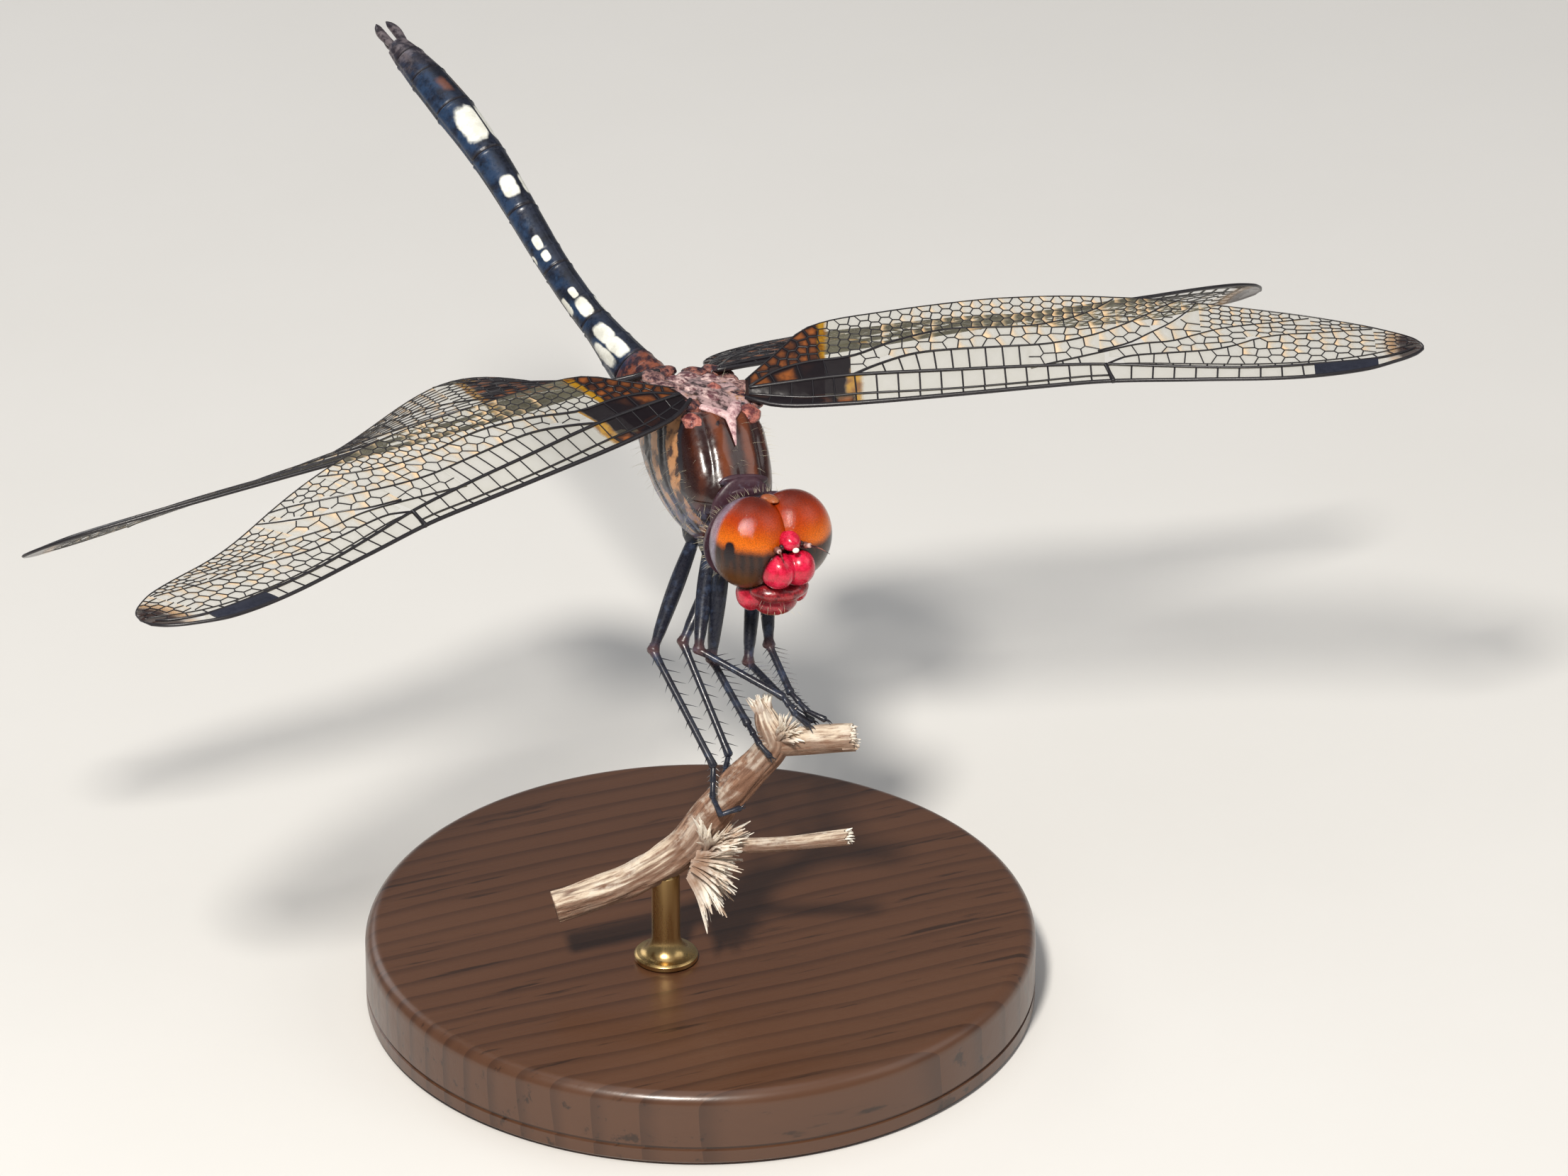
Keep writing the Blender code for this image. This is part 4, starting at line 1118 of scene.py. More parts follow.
    def tip_mark(self, x, behind):
        """How far a spot is past the border of the brown tip."""
        return x - self.length + TIP_DEPTH - TIP_CURVE * abs(behind - TIP_MIDDLE) ** 2

    def pleat(self, upper, lower, x, y):
        """The film's height between two veins that stand at different heights."""
        top, bottom = self.course(upper, x), self.course(lower, x)
        across = min(max((y - top) / max(bottom - top, 0.05), 0.0), 1.0)
        heights = self.veins[upper][0], self.veins[lower][0]
        return (heights[0] + (heights[1] - heights[0]) * across) * self.flattened(x)

    def build(self):
        """Makes the wing's pieces: film, root film, veins and spot."""
        film, stained, net = Bundle(), Bundle(), Bundle()
        for upper, lower, first, last in self.strips():
            cells, walls = self.cells(upper, lower, first, last)
            patch = ROOT_PATCH[self.kind].get(upper, NO_PATCH)
            for middle, corners in cells:
                near_root = middle.x < patch[0] + PATCH_MARGIN
                self.add_cell(stained if near_root else film, middle, corners, upper, lower, patch)
            for a, b in walls:
                spots = (a, a.lerp(b, 0.5), b)
                path = [self.place(p.x, p.y, self.pleat(upper, lower, p.x, p.y)) for p in spots]
                thick = CROSSVEIN_RADIUS * (FRONT_CROSSVEIN if upper in FRONT_VEINS else 1.0)
                net.add(*tube(path, thick, 4, open_ends=True))
        covered = ROOT_SHEET[self.kind]
        self.add_sheet(stained, self.outline.first, covered, 24, cell=0.35)
        self.add_sheet(film, covered, self.length, 60, cell=1.0)
        self.add_long_veins(net)
        film.piece(f"{self.name}_film", MEMBRANE, "wing", replaces=[self.name], sharp=180)
        stained.piece(f"{self.name}_root_film", STAINED_FILM, "wing", sharp=180)
        net.piece(f"{self.name}_veins", VEIN, "wing", sharp=180)
        self.build_spot()

    def add_cell(self, film, middle, corners, upper, lower, patch):
        """One cell of film: a shallow dome inside its walls, some with a painted gold highlight on one
        side.
        """
        bulge = self.dice.uniform(-0.05, 0.05)
        behind = middle.y - self.course("radius", middle.x)
        # painted highlight: which cells get a gold mark and how strong it is; heading points to the side of
        # the cell that faces the light
        glint_zone = soft_step(5.0, 11.0, middle.x) * soft_step(0.9, 2.4, behind)
        lit = 1.0 if self.dice.random() < 0.8 * glint_zone else 0.0
        lit *= self.dice.uniform(0.55, 1.0)
        heading = Vector((-0.95, self.dice.uniform(-0.45, 0.1))).normalized()
        mottle = self.dice.uniform(0.5, 1.0)
        if self.kind == "hindwing" and self.dice.random() < 0.5:
            mottle = 0.0
        reach, change, amber = patch
        before = 1 if change > 0 else -1
        centre = sum(corners, Vector((0.0, 0.0))) / len(corners)
        size = max((c - centre).length for c in corners)
        # each point: its place, how far in it is, and its share of the bulge
        rows = [(c, 0.0, 0.0) for c in corners]
        rows += [(centre.lerp(c, 0.62), 0.5, 0.75) for c in corners]
        rows.append((centre, 1.0, 1.0))
        points = []
        marks = {name: [] for name in ("stain", "amber", "orange", "tip", "cell", "glint", "wing_place")}
        for spot, inner, rise in rows:
            lift = self.pleat(upper, lower, spot.x, spot.y) + bulge * rise
            points.append(self.place(spot.x, spot.y, lift))
            toward = (spot - centre).dot(heading) / max(size, 0.1)
            marks["glint"].append(float(lit * soft_step(0.0, 0.5, toward)))
            marks["stain"].append(float(reach - spot.x))
            marks["amber"].append(float(amber))
            orange = soft_step(0.4, -0.4, (spot.x - abs(change)) * before) * mottle
            marks["orange"].append(float(orange))
            marks["tip"].append(float(self.tip_mark(spot.x, spot.y)))
            marks["cell"].append(float(inner))
            marks["wing_place"].append((spot.x * self.side, spot.y, 0.0))
        n = len(corners)
        faces = []
        for i in range(n):
            j = (i + 1) % n
            faces.append((i, j, n + j, n + i))
            faces.append((n + i, n + j, 2 * n))
        film.add(points, faces, **marks)

    def add_sheet(self, film, first, last, columns, **marks):
        """A continuous sheet just under the cells, so that no slit opens between them."""
        points, faces, rows = [], [], 14
        for i in range(columns + 1):
            x = first + (last - first) * i / columns
            lead, trail = self.outline.at(x)
            points += [(x, lead + (trail - lead) * k / rows) for k in range(rows + 1)]
        for i in range(columns):
            for k in range(rows):
                a = i * (rows + 1) + k
                faces.append((a, a + 1, a + rows + 2, a + rows + 1))
        places = [(x * self.side, y, 0.0) for x, y in points]
        tip = [self.tip_mark(x, y) for x, y in points]
        spots = [self.place(x, y, -SHEET_DEPTH) for x, y in points]
        marks.update(stain=5.0, amber=0.4, orange=0.3, tip=tip, glint=0.0, wing_place=places)
        film.add(spots, faces, **marks)

    def add_long_veins(self, net):
        """The long veins, the short strut at the leading edge's notch, and the edge's teeth."""
        for vein, (height, thick, thin, _) in self.veins.items():
            first, last = self.span(vein)
            steps, on_edge = max(8, int((last - first) / 0.45)), vein in ("costa", "margin")
            path, radii = [], []
            for i in range(steps + 1):
                t = i / steps
                x = first + (last - first) * (sin(pi / 2 * t) if on_edge else t)
                path.append(self.place(x, self.course(vein, x), height * self.flattened(x)))
                radii.append(thick + (thin - thick) * t ** 0.7)
            if on_edge:
                ends = self.outline.at(self.length)
                path.append(self.place(self.length + 0.06, sum(ends) / 2))
                radii.append(0.05)
            net.add(*tube(path, radii, VEIN_SIDES, dome=(0.05, 0.03)))
        x = NODUS[self.kind]
        a = self.place(x + 0.15, self.course("costa", x + 0.15) - 0.05, 0.03)
        b = self.place(x - 0.25, self.course("radius", x - 0.25), 0.1)
        net.add(*tube([a, a.lerp(b, 0.5), b], [0.17, 0.12, 0.13], VEIN_SIDES, dome=(0.05, 0.05)))
        # short teeth along the leading edge
        for i in range(int(self.length / TOOTH_GAP)):
            x = 0.8 + i * TOOTH_GAP
            if x < self.length - 1.5:
                root = self.place(x, self.course("costa", x) - 0.1, 0.03)
                ahead = (self.place(x, self.course("costa", x) - 1.0) - root + self.out * 0.5).normalized()
                net.add(*bristle(root, ahead, TOOTH_LENGTH, TOOTH_RADIUS, 0.0, 3, 1))

    def build_spot(self):
        """The thick dark cell near the tip, a raised pad between costa and radius."""
        first, last = WING_SPOT_REACH[self.kind]
        rings, steps, rows = [], 26, 6
        for i in range(steps + 1):
            t = i / steps
            x = first + (last - first) * t
            edge = sin(pi * min(max(t, 0.02), 0.98)) ** 0.25
            top, bottom = self.course("costa", x) + 0.06, self.course("radius", x) - 0.02
            upper, under = [], []
            for k in range(rows + 1):
                across = k / rows
                y = top + (bottom - top) * across
                swell = 0.09 * edge * sin(pi * (0.08 + 0.84 * across)) ** 0.5
                lift = self.pleat("costa", "radius", x, y)
                upper.append(self.place(x, y, lift + swell))
                under.append(self.place(x, y, lift - swell))
            rings.append(upper + under[::-1])
        Bundle().add(*loft(rings)).piece(f"{self.name}_spot", WING_SPOT, "wing", sharp=50)


for wing_name in ATTITUDES:
    Wing(wing_name).build()


# ---------------------------------------------------------------- head
EYE_OFFSET, EYE_RADII, EYE_BACK = 1.3, (2.3, 2.2, 2.62), 1.35
VERTEX = (0, -2.05, 0.8)
FRONS = [((side * 0.64, -1.95, -0.9), (0.95, 1.2, 1.08)) for side in (1, -1)]
CLYPEUS = ((0, -1.2, -2.45), (1.75, 1.35, 0.7))
LABRUM = ((0, -0.8, -3.4), (1.3, 1.15, 0.8))
MANDIBLES = [((side * 1.45, -0.45, -3.0), (0.65, 0.95, 0.85)) for side in (1, -1)]
LABIUM = ((0, 0.45, -3.55), (1.3, 1.15, 0.8))
EYES = [((side * EYE_OFFSET, 0, 0), EYE_RADII) for side in (1, -1)]


def exit_of(shape, start, ray):
    """How far along a ray an ellipsoid ends, or 0 if the ray misses it."""
    centre, radii = shape
    o = Vector((start[i] - centre[i]) / radii[i] for i in range(3))
    d = Vector(ray[i] / radii[i] for i in range(3))
    a, b, c = d.dot(d), o.dot(d), o.dot(o) - 1
    inside = b * b - a * c
    return (-b + math.sqrt(inside)) / a if inside > 0 else 0.0


def eye_gap(spot, eye):
    """About how far a spot is from an eye's surface."""
    centre, radii = eye
    return (math.sqrt(sum(((spot[j] - centre[j]) / radii[j]) ** 2 for j in range(3))) - 1) * 2.2


def eye_skin(side):
    """Half of the pair of eyes, cut by the seam between them and by the flat back of the head."""
    work = bmesh.new()
    bmesh.ops.create_uvsphere(work, u_segments=112, v_segments=72, radius=1.0)
    for v in work.verts:
        v.co = Vector(c * r for c, r in zip(v.co, EYE_RADII)) + Vector((side * EYE_OFFSET, 0, 0))
    for spot, normal in (((side * 0.025, 0, 0), (-side, 0, 0)), ((0, EYE_BACK, 0), (0, 1, 0))):
        parts = work.verts[:] + work.edges[:] + work.faces[:]
        cut = bmesh.ops.bisect_plane(
            work, geom=parts, dist=1e-5, plane_co=spot, plane_no=normal, clear_outer=True
        )
        rim = [e for e in cut["geom_cut"] if isinstance(e, bmesh.types.BMEdge)]
        bmesh.ops.holes_fill(work, edges=rim)
    points = []
    for v in work.verts:
        seam = soft_step(0.3, 0.0, v.co.x * side) * 0.05
        points.append(v.co + Vector((0, 1, -0.4)).normalized() * seam)
    faces = [tuple(v.index for v in f.verts) for f in work.faces]
    work.free()
    return points, faces


HORIZON = (0.42, -0.14)  # where the eye turns dark: height at the middle, and how it sinks outwards
for side, hand in ((1, "left"), (-1, "right")):
    points, faces = eye_skin(side)
    level = [p.z - HORIZON[0] + HORIZON[1] * max(0.0, abs(p.x) - 2.0) for p in points]
    around = [(math.atan2(p.x - side * EYE_OFFSET, -p.y) * 2.2 * side, p.z, 0.0) for p in points]
    marks = {
        "level": level,
        "side": [abs(p.x) - 1.3 for p in points],
        "rear": [p.y for p in points],
        "turned": around,
    }
    marks["scarred"] = float(side < 0)
    Bundle().add(points, faces, **marks).piece(f"eye_{hand}_skin", EYE, "eye", HEAD, [f"eye_{hand}"], 50)


def face_skin():
    """Brow, nose, lip, jaws and chin as one skin seen from a point behind the nose."""
    start = Vector((0, -0.75, -2.3))
    lumps = [(s, "brow") for s in FRONS] + [(CLYPEUS, "nose"), (LABRUM, "lip"), (LABIUM, "chin")]
    lumps += [(s, "jaw") for s in MANDIBLES]
    around, down = 180, 130
    rings, brow, lip, crease = [], [], [], []
    for k in range(1, down):
        tilt = pi * k / down
        ring = []
        for spin in circle(around):
            flat = sin(tilt)
            ray = Vector((flat * cos(spin), -cos(tilt), flat * sin(spin)))
            reaches = sorted(((exit_of(shape, start, ray), kind) for shape, kind in lumps), reverse=True)
            far, kind = reaches[0]
            other = reaches[1][0]
            close = max(0.0, 1 - (far - other) / 0.16)
            reach = far + 0.012 * close
            spot = start + ray * reach
            gap = min(eye_gap(spot, eye) for eye in EYES)
            swell = 0.02 * lumpy(spot, 0.5, 3.0) if kind != "brow" else 0.008 * lumpy(spot, 0.3, 3.0)
            if kind == "lip":
                swell -= 0.1 * soft_step(0.12, 0.0, abs(spot.x)) * soft_step(-3.0, -3.5, spot.z)
            ring.append(spot + ray * swell)
            brow.append({"brow": 1.0, "lip": 0.3, "jaw": 0.6}.get(kind, 0.1))
            lip.append(soft_step(-3.75, -4.05, spot.z) if kind == "lip" else 0.6 if kind == "chin" else 0.0)
            # painted shade: dark where two lumps nearly meet and close to the eyes
            between = soft_step(0.55, 1.0, close) * (0.35 if kind == "brow" else 0.75)
            crease.append(float(max(soft_step(0.22, 0.02, gap), between)))
        rings.append(ring)
    points, faces = loft(rings)
    return points, faces, close_marks({"brow": brow, "lip": lip, "crease": crease})


points, faces, marks = face_skin()
face_nodes = ["frons", "clypeus", "labrum", "labium", "mandible_left", "mandible_right"]
Bundle().add(points, faces, **marks).piece("face_skin", FACE, "face_crimson", HEAD, face_nodes, 180)

crown = Bundle()
crown.add(
    *pebble(VERTEX, (0.6, 0.72, 0.53), around=48, down=32, rough=0.05, seed=2.0),
    brow=1.0,
    lip=0.0,
    crease=0.0,
)
crown.add(
    *pebble((0, 0.35, 2.28), (0.42, 0.75, 0.2), (-0.15, 0, 0), 24, 14, 0.08, 5.0),
    brow=0.25,
    lip=0.75,
    crease=0.0,
)
crown.piece("vertex_skin", FACE, "face_crimson", HEAD, ["vertex"])

ocelli = Bundle()
ocelli.add(*pebble((0.02, -2.78, 0.52), (0.2, 0.14, 0.15), around=24, down=16), hue=1.0)
for side in (1, -1):
    ocelli.add(*pebble((side * 0.62, -2.28, 0.62), (0.15, 0.16, 0.15), around=20, down=14), hue=0.0)
ocelli.piece("ocelli", BEAD, "head_dark", HEAD)

for side, hand in ((1, "left"), (-1, "right")):
    feeler = Bundle()
    root = Vector((side * 0.85, -2.35, 0.5))
    elbow = root + Vector((side * 0.14, -0.36, 0.1))
    tip = root + Vector((side * 0.6, -1.7, 0.1))
    socket = [root + Vector((0, 0.25, -0.1)), root, root.lerp(elbow, 0.5)]
    feeler.add(*tube(socket, (0.19, 0.2, 0.14), 14, dome=(0.05, 0.06)), hue=0.12)
    stalk = [root.lerp(elbow, 0.5), root.lerp(elbow, 0.9), elbow]
    feeler.add(*tube(stalk, (0.13, 0.14, 0.1), 12, dome=(0.03, 0.05)), hue=0.6)
    path = smooth_path([elbow, elbow.lerp(tip, 0.5) + Vector((0, 0, 0.08)), tip], 14)
    feeler.add(*tube(path, [0.055 - 0.04 * i / 14 for i in range(15)], 8, dome=(0.0, 0.02)), hue=0.1)
    feeler.piece(f"antenna_{hand}_bristle", SCLERITE, "head_dark", HEAD, [f"antenna_{hand}"])


def head_back_skin():
    """The shield behind the eyes, hollowed round the neck and rolled at its rim."""
    rings = []
    steps = 20
    for k in range(steps + 1):
        t = k / steps
        if t < 0.5:
            y, size = 1.3 + 0.5 * (t / 0.5), 1.0 - 0.05 * (t / 0.5) ** 2
        else:
            s = (t - 0.5) / 0.5
            y = 1.8 + 0.28 * sin(pi * min(s * 1.2, 1.0) / 2) - 0.35 * soft_step(0.55, 1.0, s)
            size = 0.95 - 0.8 * s
        ring = []
        for turn in circle(96):
            wide = 3.42 * abs(cos(turn)) ** 0.92 * math.copysign(1, cos(turn))
            notch = 0.35 * soft_step(0.3, 0.0, abs(cos(turn))) if sin(turn) > 0 else 0.0
            spot = Vector((wide * size, y, -0.45 + (2.62 - notch) * sin(turn) * size))
            ring.append(spot + Vector((0, 1, 0)) * 0.05 * lumpy(spot, 0.7, 8.0))
        rings.append(ring)
    return loft(rings)


nape = Bundle()
nape.add(*head_back_skin())
nape.piece("head_back_skin", HEAD_DARK, "head_dark", HEAD, ["head_back"])

# ---------------------------------------------------------------- thorax
THORAX_STATIONS = (
    (-5.95, -3.2, -5.6, 1.5, 2.2),
    (-5.0, -2.1, -7.0, 2.35, 2.3),
    (-3.6, -0.8, -8.1, 2.8, 2.45),
    (-1.5, 0.1, -8.6, 3.05, 3.0),
    (0.8, 0.15, -8.3, 3.0, 3.2),
    (2.6, -0.2, -6.9, 2.65, 3.0),
    (3.8, -0.9, -5.6, 2.0, 2.4),
    (4.3, -1.7, -4.7, 1.45, 2.2),
)
FLANK_SLANT, FLANK_FROM = 0.6, -1.9
FLANK_STRIPES = ((-1.8, 0.3), (0.2, 0.55), (2.3, 0.6), (4.4, 0.7), (6.5, 0.7))
SUTURES = (0.2, 2.3, 4.4)
SHOULDER = 1.5  # how far out the front plates end in a groove
THORAX_WALL = Table(THORAX_STATIONS)


def thorax_spot(y, turn):
    """A point of the thorax wall, with its shallow grooves, and its marks."""
    top, bottom, half, square = THORAX_WALL.at(y)
    middle, tall = (top + bottom) / 2, (top - bottom) / 2
    power = 2 / (square if sin(turn) > 0 else 1.5)
    across = math.copysign(abs(cos(turn)) ** power, cos(turn))
    up = math.copysign(abs(sin(turn)) ** power, sin(turn))
    across *= 1 - 0.09 * max(0.0, -up) ** 0.7
    spot = Vector((half * across, y, middle + tall * up))
    slant = y - FLANK_SLANT * spot.z + 0.12 * lumpy(spot, 1.5, 4.0)
    depth = 0.0
    for place in SUTURES:
        depth += 0.1 * bell(slant - place, 0.12) * soft_step(0.9, 1.6, abs(spot.x))
    if up > 0:
        shoulder = 0.05 * bell(abs(spot.x) - SHOULDER, 0.2)
        depth += shoulder * soft_step(-2.2, -3.0, y) * soft_step(-5.6, -5.0, y)
    keel = 0.1 * bell(spot.x, 0.1) * soft_step(-2.6, -3.4, y) if up > 0 else 0.0
    valley = 0.34 * soft_step(-2.9, -1.9, y) * soft_step(1.9, 1.2, abs(spot.x)) if up > 0.5 else 0.0
    plate = 0.0
    if up > 0:
        for inner, outer, swell in ((0.1, SHOULDER, 0.11), (SHOULDER, 2.75, 0.14)):
            share = min(max((abs(spot.x) - inner) / (outer - inner), 0.0), 1.0)
            plate += swell * sin(pi * share) * soft_step(-2.2, -3.0, y)
    out = Vector((across, 0, up)).normalized()
    spot = spot + out * (keel + plate - depth - valley + 0.02 * lumpy(spot, 0.6, 1.0))
    stripe = min(abs(slant - place) - wide for place, wide in FLANK_STRIPES)
    flank = soft_step(FLANK_FROM - 0.1, FLANK_FROM + 0.15, slant) * soft_step(0.9, 1.3, abs(spot.x))
    side = abs(spot.x)
    front = soft_step(-1.6, -2.6, y)
    marks = {
        "stripe": stripe,
        "flank": flank,
        "glow": front * (bell(side - 0.8, 0.42) + 0.5 * bell(side - 2.1, 0.3)),
        "low": soft_step(-4.2, -6.8, spot.z),
        "suture": soft_step(0.05, 0.1, depth),
        "pale": 0.9 * soft_step(-2.6, -1.8, y) * soft_step(2.6, 1.9, side) * soft_step(-2.2, -1.0, spot.z),
    }
    return spot, marks


rings, marks, rows, sides = [], {}, 130, 150
for k in range(rows + 1):
    y = THORAX_STATIONS[0][0] + (THORAX_STATIONS[-1][0] - THORAX_STATIONS[0][0]) * k / rows
    ring = []
    for turn in circle(sides):
        spot, found = thorax_spot(y, turn)
        ring.append(spot)
        for name, value in found.items():
            marks.setdefault(name, []).append(float(value))
    rings.append(ring)
Bundle().add(*loft(rings), **close_marks(marks)).piece(
    "thorax_skin", THORAX_HORN, "thorax", BODY, ["thorax"], 180
)

collar = Bundle()
collar.add(*pebble((0, -6.45, -4.5), (1.9, 0.52, 1.9), around=56, down=32, rough=0.06, seed=1.0))
collar.add(*pebble((0, -6.1, -3.0), (1.5, 0.3, 0.5), (0.5, 0, 0), 36, 16, 0.08, 2.0))
collar.add(*pebble((0, -6.75, -3.5), (1.0, 0.22, 0.4), (0.3, 0, 0), 30, 14, 0.08, 3.0))
collar.piece("prothorax_skin", HEAD_DARK, "head_dark", BODY, ["prothorax"])
neck = Bundle()
neck.add(*tube([(0, -7.9, -4.62), (0, -7.3, -4.6), (0, -6.9, -4.6)], (0.62, 0.55, 0.7), 28))
neck.piece("neck_skin", HEAD_DARK, "head_dark", BODY, ["neck"])

# the lumps and straps between the wings: middle, radii, tilt, hue (0 dark, 1 pale, 2 rosy)
WING_BASE_LUMPS = (
    ((-0.1, -0.7, -0.32), (0.62, 0.8, 0.42), (0.1, 0, 0), 1.0),
    ((0.62, 0.3, -0.2), (0.36, 0.4, 0.36), (0, 0, 0), 2.0),
    ((-0.75, 0.3, -0.3), (0.5, 0.5, 0.36), (0, 0.2, 0), 0.9),
    ((-1.0, 1.6, -0.35), (0.55, 0.6, 0.36), (0, 0, 0.4), 1.0),
    ((-1.85, 1.1, -0.4), (0.5, 0.55, 0.36), (0, 0.3, 0), 0.85),
    ((1.0, 1.6, -0.35), (0.55, 0.6, 0.36), (0, 0, -0.4), 1.0),
    ((1.85, 1.1, -0.45), (0.5, 0.55, 0.36), (0, -0.3, 0), 0.7),
    ((0.0, 2.5, -0.5), (0.62, 0.6, 0.34), (-0.2, 0, 0), 0.75),
    ((-0.9, 3.1, -0.9), (0.5, 0.5, 0.34), (-0.4, 0, 0), 0.3),
    ((0.9, 3.1, -0.9), (0.5, 0.5, 0.34), (-0.4, 0, 0), 0.3),
    ((-1.55, -1.6, -0.35), (0.72, 0.55, 0.42), (0, 0.2, 0.35), 0.1),
    ((1.55, -0.6, -0.4), (0.8, 0.6, 0.42), (0, -0.2, -0.3), 0.1),
    ((1.5, -2.45, -0.72), (0.72, 0.6, 0.6), (0.3, -0.3, 0.2), 2.0),
    ((-1.6, -2.6, -0.95), (0.8, 0.5, 0.5), (0.3, 0.3, -0.2), 1.7),
    ((-2.25, -1.3, -0.3), (0.6, 0.5, 0.4), (0, 0.3, 0.3), 0.2),
    ((2.3, -1.2, -0.55), (0.6, 0.5, 0.4), (0, -0.3, -0.3), 0.35),
    ((-2.3, 2.1, -0.25), (0.62, 0.6, 0.42), (0, 0.2, 0), 0.4),
    ((2.3, 2.2, -0.7), (0.62, 0.6, 0.42), (0, -0.2, 0), 0.4),
    ((1.35, 3.4, -0.75), (1.0, 0.42, 0.4), (0, 0.1, -0.3), 0.0),
    ((-1.35, 3.4, -0.65), (1.0, 0.42, 0.4), (0, -0.1, 0.3), 0.0),
    ((2.2, 3.2, -0.55), (0.75, 0.45, 0.36), (0, 0.1, -0.5), 0.1),
    ((2.5, 0.75, -0.35), (1.0, 0.5, 0.3), (0, 0.1, 0.4), 0.45),
    ((-2.4, 0.55, -0.1), (0.9, 0.5, 0.3), (0, -0.1, -0.4), 0.5),
)
lumps = Bundle()
for n, (middle, radii, tilt, hue) in enumerate(WING_BASE_LUMPS):
    radii = (radii[0] * 1.22, radii[1] * 1.22, radii[2] * 0.9)
    middle = Vector(middle) - Vector((0, 0, 0.1))
    lumps.add(*pebble(middle, radii, tilt, 44, 28, 0.16, n * 1.3), hue=float(hue))
# the pink fork in front of the wings, its foot running down the keel
FORK = (
    (
        ((0.0, -4.6, -1.5), 0.05), ((0.02, -4.1, -1.02), 0.16), ((0.05, -3.6, -0.6), 0.28),
        ((0.1, -3.1, -0.38), 0.36),
    ),
    (((0.1, -3.2, -0.42), 0.34), ((-0.5, -2.7, -0.3), 0.32), ((-1.2, -2.0, -0.3), 0.26)),
    (((0.1, -3.2, -0.42), 0.34), ((0.6, -2.6, -0.25), 0.38), ((1.0, -1.9, -0.25), 0.3)),
)
for branch in FORK:
    path = smooth_path([(*spot, radius) for spot, radius in branch], 16)
    lumps.add(*tube(path, [p[3] for p in path], 16, flat=0.6, dome=(0.05, 0.05)), hue=1.2)
lumps.piece("wing_base_lumps", SCLERITE, "thorax", BODY)

# ---------------------------------------------------------------- abdomen
ABDOMEN_START, ABDOMEN_LENGTH = Vector((-0.5, 3.6, -3.3)), 33.4
ABDOMEN_TURN = (9.5, 9.0, 9.5, 10.5, 12.0)
ABDOMEN_RISE = (15.0, 18.0, 32.0, 21.0, 12.0)
ABDOMEN_FIRST = 0.8
SEGMENT_LENGTHS = (0.9, 2.5, 4.3, 4.4, 4.4, 4.2, 3.9, 3.0, 2.0, 1.2)
SEGMENT_WIDTHS = (2.9, 3.0, 2.5, 1.9, 1.8, 1.95, 2.2, 2.5, 2.3, 1.85, 1.4)
SEGMENT_HEIGHTS = (2.9, 3.6, 2.9, 1.9, 1.75, 1.8, 1.9, 2.05, 1.85, 1.6, 1.25)
CERCUS_LENGTH = 1.9
JOINTS = [ABDOMEN_FIRST + sum(SEGMENT_LENGTHS[:n]) for n in range(len(SEGMENT_LENGTHS) + 1)]
CARINAE = (3.0, 6.15, 10.05, 14.3)  # cross ridges
ABDOMEN_LEAN = Table(((0, 78), (12, 78), (18, 74), (23, 64), (31.6, 62)))


def abdomen_heading(share):
    """Which way the abdomen points at a share of its length."""
    turn, rise = (
        math.radians(blend([(i / 4, value) for i, value in enumerate(values)], share)[0])
        for values in (ABDOMEN_TURN, ABDOMEN_RISE)
    )
    level = cos(rise)
    return Vector((-sin(turn) * level, cos(turn) * level, sin(rise)))


ABDOMEN_STEPS = 160
abdomen_line = [ABDOMEN_START]
for i in range(ABDOMEN_STEPS):
    heading = abdomen_heading((i + 0.5) / ABDOMEN_STEPS)
    abdomen_line.append(abdomen_line[-1] + heading * (ABDOMEN_LENGTH / ABDOMEN_STEPS))


def along_abdomen(distance):
    """The abdomen's middle and heading at a distance from its start."""
    place = distance / ABDOMEN_LENGTH * ABDOMEN_STEPS
    i = min(int(place), ABDOMEN_STEPS - 1)
    return abdomen_line[i].lerp(abdomen_line[i + 1], place - i), abdomen_heading(distance / ABDOMEN_LENGTH)


